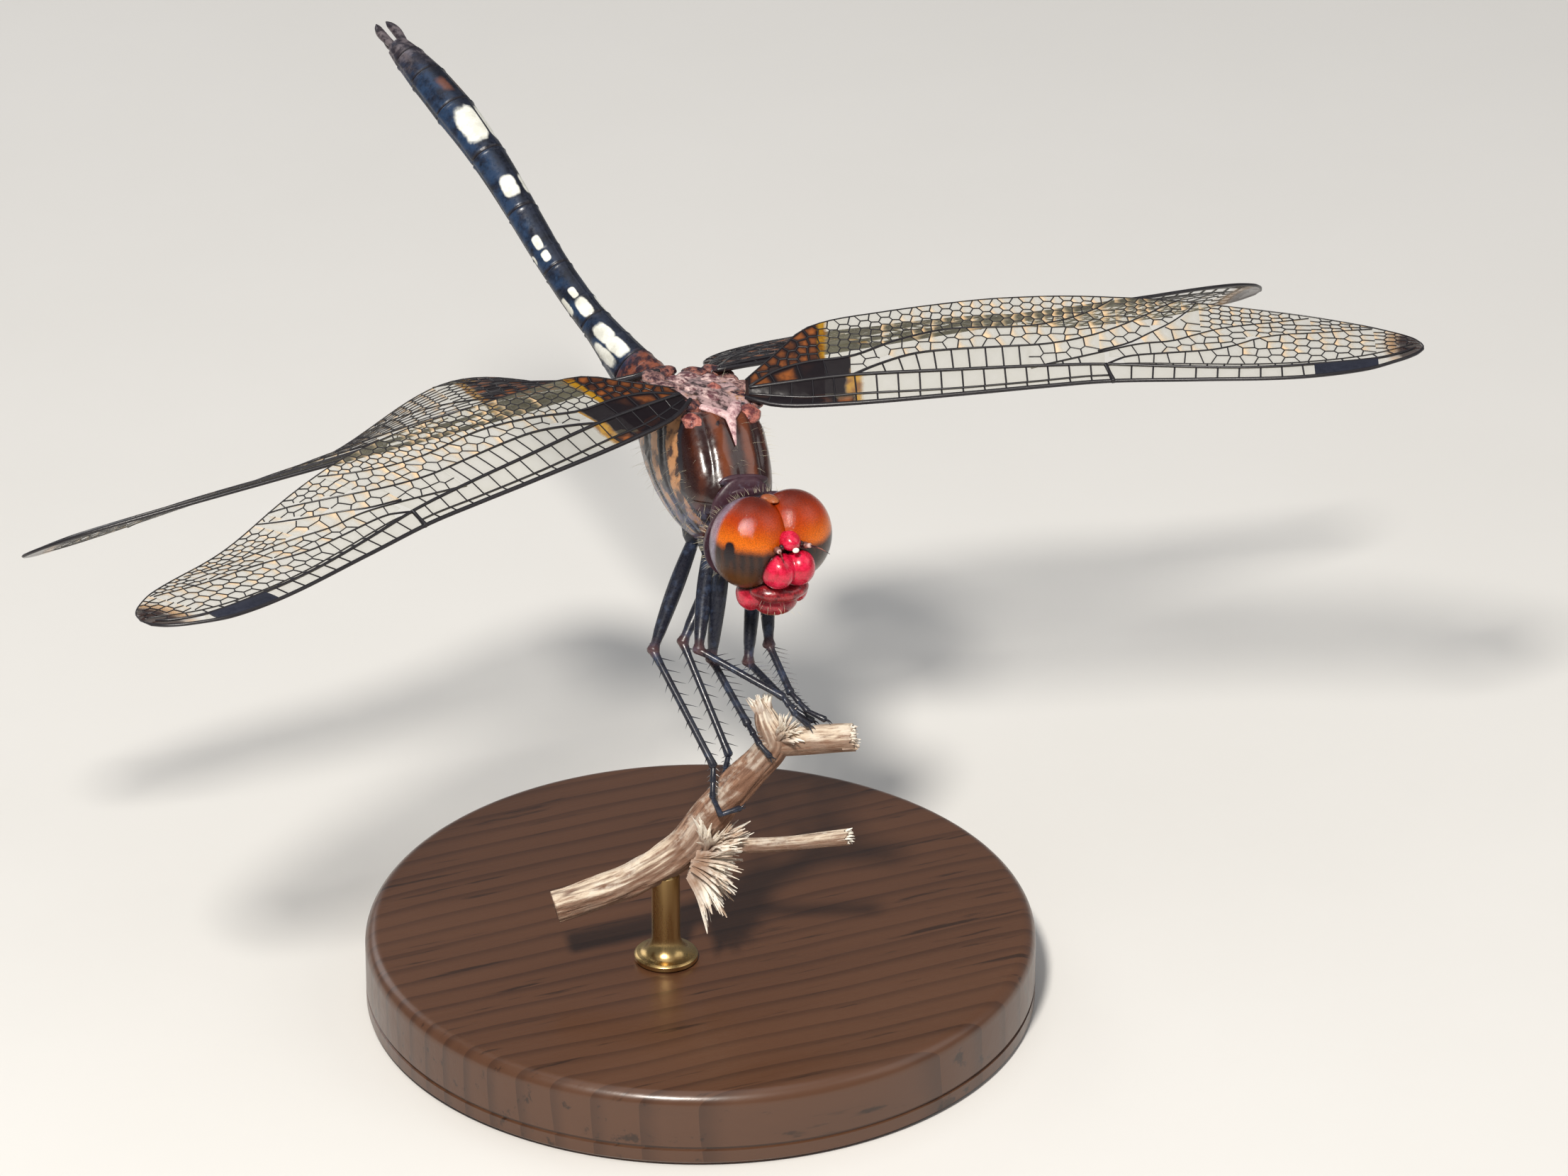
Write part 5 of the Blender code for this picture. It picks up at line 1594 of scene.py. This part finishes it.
rings, marks = [], {"unrolled": [], "along": [], "flank": [], "ridge": [], "joint": []}
rows, sides = 420, 64
for k in range(rows + 1):
    d = JOINTS[0] + (JOINTS[-1] - JOINTS[0]) * k / rows
    centre, heading = along_abdomen(d)
    across, up = side_frame(heading)
    segment = max(n for n in range(10) if JOINTS[n] <= d + 1e-6)
    part = (d - JOINTS[segment]) / SEGMENT_LENGTHS[segment]
    wide = SEGMENT_WIDTHS[segment] * (1 - part) + SEGMENT_WIDTHS[segment + 1] * part
    high = SEGMENT_HEIGHTS[segment] * (1 - part) + SEGMENT_HEIGHTS[segment + 1] * part
    near = min(abs(d - j) for j in JOINTS[1:-1])
    lip = 0.05 * bell(min(abs(d - j + 0.16) for j in JOINTS[1:-1]), 0.09)
    groove = 0.09 * bell(near, 0.07)
    ridge = 0.035 * max(bell(d - c, 0.07) for c in CARINAE)
    lean = math.radians(ABDOMEN_LEAN.at(d)[0])
    ring = []
    for turn in circle(sides):
        keel = 1.0 - 0.12 * max(0.0, sin(turn))
        belly = 1 + 0.3 * max(0.0, -sin(turn)) * soft_step(1.0, 2.4, d) * soft_step(8.0, 5.0, d)
        spot = across * (cos(turn) * keel * wide / 2) + up * sin(turn) * belly * high / 2
        from_back = math.remainder(turn - lean, 2 * pi)
        back_keel = 0.045 * bell(from_back, 0.09)
        fold = 0.12 * bell(abs(from_back) - 2.25, 0.16)
        swell = 1 + (lip - groove + ridge + back_keel - fold) / max(wide / 2, 0.4)
        ring.append(centre + spot * swell)
        arc = from_back * (wide + high) / 4
        marks["unrolled"].append((d, abs(arc), 0.0))
        marks["along"].append(float(d))
        marks["flank"].append(soft_step(0.2, 1.2, abs(from_back)))
        marks["ridge"].append(abs(arc))
        marks["joint"].append(float(soft_step(0.13, 0.05, near)))
    if k == 0:
        rear = THORAX_STATIONS[-1][0] - 0.35
        ring = [p + heading * ((rear - p.y) / heading.y) for p in ring]
    rings.append(ring)
nodes = [f"abdomen_{n}" for n in range(1, 11)]
Bundle().add(*loft(rings), **close_marks(marks)).piece(
    "abdomen_skin", ABDOMEN, "abdomen", HINGE, nodes, 180
)

tail, heading = along_abdomen(JOINTS[-1])
across, up = side_frame(heading)
# the appendages as (reach, bow, lift, radius) and (reach, drop, radius) keys
CERCUS = (
    (-0.2, 0, 0, 0.22),
    (0.4, 0.1, 0.03, 0.27),
    (1.1, 0.15, 0.1, 0.3),
    (1.65, 0.06, 0.16, 0.2),
    (CERCUS_LENGTH, 0, 0.2, 0.05),
)
EPIPROCT = ((-0.2, 0.35, 0.2), (0.6, 0.42, 0.3), (1.2, 0.3, 0.24), (1.4, 0.22, 0.1))
TAIL_PLACE = (31.0, 3.0, 0.0)  # their one place on the unrolled skin, on its grey tip


def tail_piece(name, keys, steps, flat, dome):
    """One of the three appendages at the end of the abdomen."""
    path = smooth_path(keys, steps)
    points, faces = tube(path, [p[3] for p in path], 16, flat=flat, dome=(0, dome))
    marks = {"unrolled": [TAIL_PLACE] * len(points), "along": TAIL_PLACE[0]}
    part = Bundle().add(points, faces, **marks, flank=0.0, ridge=1.0, joint=0.0)
    part.piece(f"{name}_skin", ABDOMEN, "abdomen", HINGE, [name])


for side, hand in ((-1, "right"), (1, "left")):
    keys = [
        (*(tail + across * side * (0.34 + bow) + up * (0.2 + lift) + heading * reach), radius)
        for reach, bow, lift, radius in CERCUS
    ]
    tail_piece(f"cercus_{hand}", keys, 16, 0.8, 0.03)
keys = [(*(tail - up * drop + heading * reach), radius) for reach, drop, radius in EPIPROCT]
tail_piece("epiproct", keys, 12, 0.7, 0.05)

# ---------------------------------------------------------------- twig
STEM = (
    ((-1.4, -10.5, -14.6), 0.3),
    ((-1.3, -11.1, -15.5), 0.75),
    ((-1.1, -11.6, -16.7), 0.95),
    ((-3.1, -11.3, -19.0), 1.0),
    ((-4.8, -11.1, -20.8), 1.1),
    ((-6.3, -11.0, -22.5), 1.1),
    ((-8.4, -10.7, -23.7), 1.0),
    ((-10.8, -10.3, -24.6), 0.95),
    ((-13.6, -9.7, -25.3), 0.95),
)
STUB = (((-1.1, -11.6, -16.7), 0.8), ((1.0, -12.7, -16.4), 0.8), ((2.8, -13.8, -16.1), 0.82))
BRANCHLET = (((-5.6, -11.3, -22.4), 0.5), ((-1.9, -13.6, -22.0), 0.42), ((1.7, -15.6, -21.3), 0.5))
TUFT_ROOT, TUFT_END = Vector((-5.9, -11.7, -23.1)), Vector((-3.5, -13.6, -25.6))


def bark_distance(spot, limbs):
    """How far a spot is from the twig's surface, and the way out from its middle."""
    best = None
    for limb in limbs:
        for (a, ra), (b, rb) in zip(limb, limb[1:]):
            a, b = Vector(a), Vector(b)
            t = min(max((spot - a).dot(b - a) / (b - a).length_squared, 0), 1)
            out = spot - a.lerp(b, t)
            gap = out.length - (ra + (rb - ra) * t)
            if best is None or gap < best[0]:
                best = gap, out.normalized()
    return best


def bark_skin(limb, steps, sides, depth, seed, ragged, pale):
    """A limb with furrows along it, knots, and ends broken off unevenly; pale tells how bleached it is."""
    bleached = Table(pale)
    path = smooth_path([(*spot, radius) for spot, radius in limb], steps)
    whole = sum((Vector(a[:3]) - Vector(b[:3])).length for a, b in zip(path, path[1:]))
    heading = (Vector(path[1][:3]) - Vector(path[0][:3])).normalized()
    across, _ = side_frame(heading)
    rings, marks, run = [], {"furrow": [], "unrolled": [], "pale": []}, 0.0
    for k, (x, y, z, radius) in enumerate(path):
        centre = Vector((x, y, z))
        a, b = Vector(path[max(k - 1, 0)][:3]), Vector(path[min(k + 1, steps)][:3])
        run += (centre - Vector(path[max(k - 1, 0)][:3])).length
        heading = (b - a).normalized()
        across = (across - heading * across.dot(heading)).normalized()
        up = across.cross(heading)
        ring = []
        for turn in circle(sides):
            out = across * cos(turn) + up * sin(turn)
            lay = Vector((cos(turn) * 2.6, sin(turn) * 2.6, run * 0.22))
            furrow = 1 - abs(lumpy(lay, 1.0, seed)) * 2.4
            knot = lumpy(Vector((cos(turn), sin(turn), run * 0.5)), 1.1, seed + 5)
            height = -depth * max(furrow, 0.0) ** 2 + depth * 0.9 * knot
            slide = 0.0
            for end, amount in ((0, ragged[0]), (steps, ragged[1])):
                if k == end:
                    lay = Vector((cos(turn) * 3, sin(turn) * 3, end))
                    slide = amount * lumpy(lay, 0.8, seed) * (1 if end else -1)
            ring.append(centre + out * (radius + height * min(1.0, radius)) + heading * slide)
            marks["furrow"].append(float(max(furrow, 0.0)))
            marks["pale"].append(float(bleached.at(run / whole)[0]))
            marks["unrolled"].append((cos(turn) * 1.6, sin(turn) * 1.6, run * 0.25))
        rings.append(ring)
    return (*loft(rings), close_marks(marks))


def splinters(bundle, dice, root, heading, count, spread, length, thick, disc):
    """Torn fibres that stand out of a broken end."""
    across, up = side_frame(heading)
    for _ in range(count):
        turn, far = dice.uniform(0, 2 * pi), dice.random() ** 0.6
        side = across * cos(turn) + up * sin(turn)
        start = root + side * disc * far
        way = (heading + side * spread * far * dice.uniform(0.4, 1.2)).normalized()
        reach = length * dice.uniform(0.45, 1.0)
        curl = side * dice.uniform(-0.1, 0.3) * reach + Vector((0, 0, -0.06)) * reach
        path = [
            start - way * 0.3,
            start + way * reach * 0.4,
            start + way * reach * 0.75 + curl * 0.5,
            start + way * reach + curl,
        ]
        size = thick * dice.uniform(0.5, 1.2)
        radii = [size * (1 - (i / 7) ** 2 * 0.85) for i in range(8)]
        points, faces = tube(smooth_path(path, 7), radii, 5, flat=dice.uniform(0.4, 1.0))
        inner = [float(soft_step(0.5, 0.0, (p - root).dot(heading) / length)) for p in points]
        bundle.add(points, faces, inner=inner)


STEM_PALE = ((0, 1.0), (0.1, 0.9), (0.17, 0.1), (0.54, 0.15), (0.62, 0.85), (1, 0.9))
# each limb's rings, sides, depth of bark, seed, raggedness of its two ends, and how bleached it is
LIMBS = {
    "twig_stem": (STEM, 170, 64, 0.14, 1.0, (0.5, 0.05), STEM_PALE),
    "twig_stub": (STUB, 40, 48, 0.12, 7.0, (0.0, 0.35), ((0, 0.8), (1, 1.0))),
    "twig_branchlet": (BRANCHLET, 90, 36, 0.08, 3.0, (0.0, 0.25), ((0, 0.4), (1, 1.0))),
}
for name, form in LIMBS.items():
    points, faces, marks = bark_skin(*form)
    Bundle().add(points, faces, **marks).piece(f"{name}_bark", BARK, "bark", HINGE, [name], 180)

dice = random.Random("twig")
torn = Bundle()
way = (TUFT_END - TUFT_ROOT).normalized()
root = TUFT_ROOT + way * 0.2
splinters(torn, dice, root, (way + Vector((0.45, -0.15, 0.2))).normalized(), 190, 1.2, 2.7, 0.2, 1.1)
splinters(torn, dice, root, (way + Vector((0.5, -0.3, 0.5))).normalized(), 80, 1.0, 2.1, 0.2, 0.8)
root = TUFT_ROOT + Vector((0.8, -0.5, 1.2))
splinters(torn, dice, root, Vector((0.3, -0.3, 0.9)), 90, 1.0, 1.7, 0.17, 0.7)
torn.piece("twig_tuft_splinters", SPLINTER, "splinters", HINGE, ["twig_tuft"])
ends = Bundle()
for branch, count, thick in ((STUB, 70, 0.2), (BRANCHLET, 34, 0.15)):
    a, b = Vector(branch[-2][0]), Vector(branch[-1][0])
    way = (b - a).normalized()
    splinters(ends, dice, b - way * 0.25, way, count, 0.15, 0.6, thick, branch[-1][1] * 0.82)
a, b = Vector(STEM[1][0]), Vector(STEM[0][0])
splinters(ends, dice, b + (a - b) * 0.5, (b - a).normalized(), 60, 0.4, 1.1, 0.17, 0.45)
root, heading = Vector((-0.6, -12.2, -15.9)), Vector((0.4, -0.5, 0.75)).normalized()
splinters(ends, dice, root, heading, 60, 0.8, 1.1, 0.16, 0.6)
ends.piece("twig_end_splinters", SPLINTER, "splinters")

# ---------------------------------------------------------------- legs
TARSUS_RADIUS, TOE_GAP = 0.25, 0.05
PERCH = (STEM, STUB, BRANCHLET)
# each leg's hip, knee and ankle, and the joints of its foot
LEGS = {
    "hind_right": (
        (-1.6, -1.6, -8.75), (-6.1, -6.4, -12.3), (-4.6, -11.3, -17.5), (-5.0, -12.1, -19.0),
        (-4.7, -12.5, -20.0), (-3.6, -12.6, -19.8),
    ),
    "hind_left": (
        (1.1, -1.6, -8.8), (-3.4, -4.3, -13.4), (-2.8, -9.3, -18.2), (-3.3, -9.7, -19.6),
        (-4.2, -9.6, -20.4),
    ),
    "mid_right": (
        (-1.5, -3.6, -8.5), (-3.9, -7.7, -12.1), (-0.5, -11.6, -13.9), (-0.1, -12.3, -14.7),
        (0.5, -12.8, -15.3),
    ),
    "mid_left": (
        (1.5, -3.6, -8.5), (-0.4, -6.6, -14.2), (0.2, -9.7, -14.9), (0.6, -10.9, -15.3),
        (1.3, -11.6, -15.8),
    ),
    "front_right": (
        (-1.2, -5.2, -7.6), (-2.8, -7.0, -13.3), (-2.2, -10.8, -15.6), (-2.2, -12.2, -16.2),
        (-1.8, -12.7, -16.8),
    ),
    "front_left": (
        (1.2, -5.2, -7.6), (0.3, -7.9, -12.6), (0.4, -10.6, -14.3), (0.9, -11.8, -15.0),
        (1.6, -12.6, -15.3),
    ),
}


def on_bark(spot):
    """The spot, moved out until a toe there rests on the bark."""
    for _ in range(4):
        short, out = bark_distance(spot, PERCH)
        spot = spot + out * max(0.0, TARSUS_RADIUS + TOE_GAP - short)
    return spot


def limb(bundle, path, radii, knee_at=None, sides=16):
    """One length of leg, brown near its knee."""
    points, faces = tube(path, radii, sides, flat=0.92, dome=(radii[0] * 0.7, radii[-1] * 0.7))
    knees = [float(soft_step(0.6, 0.15, (p - knee_at).length)) if knee_at else 0.0 for p in points]
    bundle.add(points, faces, knee=knees)


def spines(bundle, a, b, count, length, thick, rows, dice):
    """Rows of stiff spines that lean towards the foot."""
    along = (b - a).normalized()
    across, up = side_frame(along)
    for turn in rows:
        out = across * cos(turn) + up * sin(turn)
        for i in range(count):
            t = (i + 0.6 + dice.uniform(-0.15, 0.15)) / (count + 0.4)
            way = out + along * 0.75
            reach = length * dice.uniform(0.75, 1.1) * (1 - 0.3 * t)
            bundle.add(*bristle(a.lerp(b, t) + out * 0.18, way, reach, thick, 0.0, 4, 2), knee=0.0)


for name, (hip, knee, ankle, *foot) in LEGS.items():
    hip, knee, ankle = Vector(hip), Vector(knee), on_bark(Vector(ankle))
    foot = [on_bark(Vector(p)) for p in foot]
    thigh, shin, toes, thorns = Bundle(), Bundle(), Bundle(), Bundle()
    coxa = hip + Vector((-math.copysign(0.15, hip.x), 0.1, 0.75))
    limb(thigh, [coxa, coxa.lerp(hip, 0.6), hip], (0.75, 0.62, 0.42))
    bow = side_frame(knee - hip)[1] * 0.1
    path = smooth_path([hip, hip.lerp(knee, 0.35) + bow, hip.lerp(knee, 0.75) + bow, knee], 18)
    radii = []
    for i in range(19):
        swell = 0.36 + 0.1 * sin(pi * min(i / 18 * 1.25, 1.0))
        radii.append(swell - 0.1 * soft_step(0.8, 0.95, i / 18) + 0.12 * soft_step(0.93, 1.0, i / 18))
    limb(thigh, path, radii, knee)
    thigh.piece(f"{name}_thigh", LEG, "leg", HINGE, [f"{name}_femur"])
    path = smooth_path([knee, knee.lerp(ankle, 0.5), ankle], 14)
    radii = [
        0.3 - 0.09 * soft_step(0.0, 0.12, i / 14) + 0.05 * soft_step(0.9, 1.0, i / 14) for i in range(15)
    ]
    limb(shin, path, radii, knee)
    shin.piece(f"{name}_shin", LEG, "leg", HINGE, [f"{name}_tibia"])
    stops = [ankle, *foot]
    for n, (a, b) in enumerate(zip(stops, stops[1:])):
        cuts = 2 if n == 0 else 1
        for c in range(cuts):
            s, e = a.lerp(b, c / cuts), a.lerp(b, (c + 1) / cuts)
            limb(toes, [s, s.lerp(e, 0.6), e], (0.14, 0.16, 0.2), sides=12)
    last, way = foot[-1], (foot[-1] - stops[-2]).normalized()
    inward = -bark_distance(last, PERCH)[1]
    spread = way.cross(inward).normalized()
    for hand in (-1, 1):
        bent = last + way * 0.3 + spread * 0.12 * hand
        point = last + way * 0.45 + spread * 0.16 * hand + inward * 0.14
        path = smooth_path([last, bent, point], 6)
        toes.add(*tube(path, [0.07 - 0.01 * i for i in range(7)], 6, dome=(0, 0.01)), knee=0.0)
    toes.piece(f"{name}_toes", LEG, "leg", HINGE, [f"{name}_tarsus"])
    dice = random.Random(name)
    spines(thorns, hip.lerp(knee, 0.2), knee, 11, 0.3, 0.035, (0.5, 2.4, -1.2), dice)
    spines(thorns, knee, ankle, 9, 0.85, 0.04, (0.3, 2.9), dice)
    spines(thorns, ankle, foot[0], 5, 0.3, 0.03, (0.3, 2.9), dice)
    thorns.piece(f"{name}_spines", LEG, "leg")

# ---------------------------------------------------------------- hair
HAIR_PATCH = 0.003  # the share of the bake map that one hair takes


def root_map(coat, sides, steps, axis):
    """A bake map with each hair a small patch at its root's place on the skin rolled flat about axis."""
    mesh, each = coat.data, sides * (steps + 1) + 2
    other = 3 - axis
    roots = [mesh.vertices[i].co for i in range(0, len(mesh.vertices), each)]
    places = [(math.atan2(root[0], root[other]), root[axis]) for root in roots]
    low = [min(place[k] for place in places) for k in (0, 1)]
    span = [(max(place[k] for place in places) - low[k]) / (1 - HAIR_PATCH) for k in (0, 1)]
    layer = mesh.uv_layers.new(name="OFBake")
    for loop in mesh.loops:
        hair, part = divmod(loop.vertex_index, each)
        u, v = ((places[hair][k] - low[k]) / span[k] for k in (0, 1))
        round_it, along = part % sides / (sides - 1), part // sides / (steps + 1)
        layer.data[loop.index].uv = (u + HAIR_PATCH * round_it, v + HAIR_PATCH * along)


def strayed(dice):
    """A small random lean."""
    return Vector(dice.uniform(-0.4, 0.4) for _ in range(3))


coat = Bundle()
dice = random.Random("hair")
for _ in range(260):
    y, turn = dice.uniform(-5.6, 2.5), dice.uniform(-0.9, pi + 0.9)
    spot, _ = thorax_spot(y, turn)
    ahead, _ = thorax_spot(y, turn + 0.05)
    fore, _ = thorax_spot(y + 0.05, turn)
    out = (ahead - spot).cross(spot - fore).normalized()
    if out.dot(spot - Vector((0, y, -4))) < 0:
        out = -out
    if abs(spot.x) < 1.8 and y > -2.6 and spot.z > -1.2:
        continue
    way = out + Vector((dice.uniform(-0.4, 0.4), dice.uniform(-0.7, 0.1), dice.uniform(-0.3, 0.4)))
    coat.add(*bristle(spot, way, dice.uniform(0.4, 0.95), 0.009, 0.25, 3, 3))
root_map(coat.piece("thorax_hair", HAIR, "thorax", BODY), 3, 3, 1)
fringe = Bundle()
for _ in range(170):
    side, turn = dice.choice((-1, 1)), dice.uniform(0.2, 2 * pi)
    spot = Vector((3.3 * cos(turn), 1.75, -0.45 + 2.5 * sin(turn)))
    way = Vector((cos(turn), 0.5, sin(turn))) + strayed(dice)
    fringe.add(*bristle(spot, way, dice.uniform(0.3, 0.6), 0.012, 0.2, 3, 2))
for _ in range(24):
    turn = dice.uniform(0.1, pi - 0.1)
    spot = Vector((1.35 * cos(turn), -1.25 - 0.65 * sin(turn), -3.5 + dice.uniform(-0.5, 0.9)))
    way = Vector((cos(turn), -sin(turn), -0.6)) + strayed(dice)
    fringe.add(*bristle(spot, way, dice.uniform(0.25, 0.5), 0.012, 0.3, 3, 2))
root_map(fringe.piece("head_hair", HAIR, "head_dark", HEAD), 3, 2, 2)

# ---------------------------------------------------------------- stand
STAND_RADIUS, STAND_THICKNESS, STAND_BEVEL = 19.0, 4.5, 0.8
ROD_RADIUS, ROD_FOOT_RADIUS, ROD_FOOT_HEIGHT = 0.8, 1.8, 1.2


def turned(profile, at=(0.0, 0.0), sides=128):
    """A turned piece from (radius, height) steps."""
    turns = circle(sides)
    return loft([[(at[0] + r * cos(t), at[1] + r * sin(t), h) for t in turns] for r, h in profile])


profile = [
    (STAND_RADIUS - 0.3, 0.0),
    (STAND_RADIUS, 0.3),
    (STAND_RADIUS, 1.0),
    (STAND_RADIUS - 0.12, 1.06),
    (STAND_RADIUS - 0.12, 1.2),
    (STAND_RADIUS, 1.26),
]
for i in range(9):
    turn = pi / 2 * i / 8
    out = STAND_RADIUS - STAND_BEVEL * (1 - cos(turn))
    profile.append((out, STAND_THICKNESS - STAND_BEVEL * (1 - sin(turn))))
Bundle().add(*turned(profile, sides=220)).piece(
    "stand_base_wood", WOOD, "stand_wood", STAND, ["stand_base"], 40
)

rod_seat = Vector(STEM[5][0]).lerp(Vector(STEM[6][0]), 0.5)
rod_at = WING_HINGE + rod_seat
foot = STAND_THICKNESS + 0.05
profile = [
    (ROD_FOOT_RADIUS - 0.08, foot),
    (ROD_FOOT_RADIUS, foot + 0.08),
    (ROD_FOOT_RADIUS, foot + 0.3),
    (ROD_FOOT_RADIUS - 0.1, foot + 0.4),
]
for i in range(9):
    turn = pi / 2 * (i / 8)
    out = ROD_FOOT_RADIUS - 0.15 - (ROD_FOOT_RADIUS - 0.15 - ROD_RADIUS) * sin(turn)
    profile.append((out, foot + 0.42 + (ROD_FOOT_HEIGHT + 0.4 - 0.42) * (1 - cos(turn))))
profile += [(ROD_RADIUS, rod_at.z - 1.4), (ROD_RADIUS, rod_at.z - 0.95), (0.5, rod_at.z - 0.6)]
Bundle().add(*turned(profile, rod_at, 64)).piece(
    "stand_rod_brass", BRASS, "stand_brass", STAND, ["stand_rod"], 40
)


# ---------------------------------------------------------------- room, light and camera
AIM = Vector((5.8, 1.4, 24.03))
VIEW_LEVEL, VIEW_ROUND = 28.0, 24.0
CAMERA_DISTANCE, CAMERA_WIDTH = 500.0, 87.78


def towards(level, round_):
    """The direction at an angle above the floor and one round from straight ahead to the right."""
    level, round_ = math.radians(level), math.radians(round_)
    flat = cos(level)
    return Vector((-sin(round_) * flat, -cos(round_) * flat, sin(level)))


def aimed(made, spot, target):
    """Puts an object at a spot, looking at a target."""
    made.location = spot * MM
    made.rotation_euler = (target - spot).to_track_quat("-Z", "Y").to_euler()


def lamp(name, direction, distance, size, power, colour=(1, 1, 1), shape="SQUARE", target=AIM):
    """A glowing panel turned to its target."""
    light = bpy.data.lights.new(name, "AREA")
    light.energy, light.size, light.color, light.shape = power, size * MM, colour, shape
    aimed(placed(name, light), target + direction * distance, target)


def floor_finish(look):
    """Off white paper."""
    tone, height = grain(look, 60.0)
    return {
        "Base_Color": look.mix(tone, (0.72, 0.71, 0.68), (0.8, 0.79, 0.77)),
        "Normal": look.bump(height, 0.05, 0.2),
    }


floor_mesh = bpy.data.meshes.new("floor")
floor_shape = bmesh.new()
bmesh.ops.create_grid(floor_shape, x_segments=4, y_segments=4, size=2.0)
floor_shape.to_mesh(floor_mesh)
floor_shape.free()
floor_mesh.materials.append(finish("floor_paper", floor_finish, 0.8))
placed("floor", floor_mesh)

world = bpy.data.worlds.new("soft room")
bpy.context.scene.world = world
world.use_nodes = True
sky = world.node_tree.nodes["Background"].inputs
sky["Color"].default_value, sky["Strength"].default_value = (0.9, 0.93, 1.0, 1.0), 0.2
lamp("sun_disc", towards(50, 38), 420, 56, 2.0, (1.0, 0.95, 0.88), "DISK")
lamp("soft_left", towards(40, -60), 400, 260, 0.24, (1.0, 0.98, 0.95))
lamp("soft_above", towards(80, 170), 420, 320, 0.27)
lamp("rear_right", towards(25, 165), 420, 180, 0.18)

camera = placed("camera", bpy.data.cameras.new("camera"))
camera.data.angle = 2 * math.atan(CAMERA_WIDTH / 2 / CAMERA_DISTANCE)
camera.data.clip_start, camera.data.clip_end = 0.01, 10
aimed(camera, AIM + towards(VIEW_LEVEL, VIEW_ROUND) * CAMERA_DISTANCE, AIM)
bpy.context.scene.camera = camera
bpy.context.scene.view_settings.view_transform = "Standard"
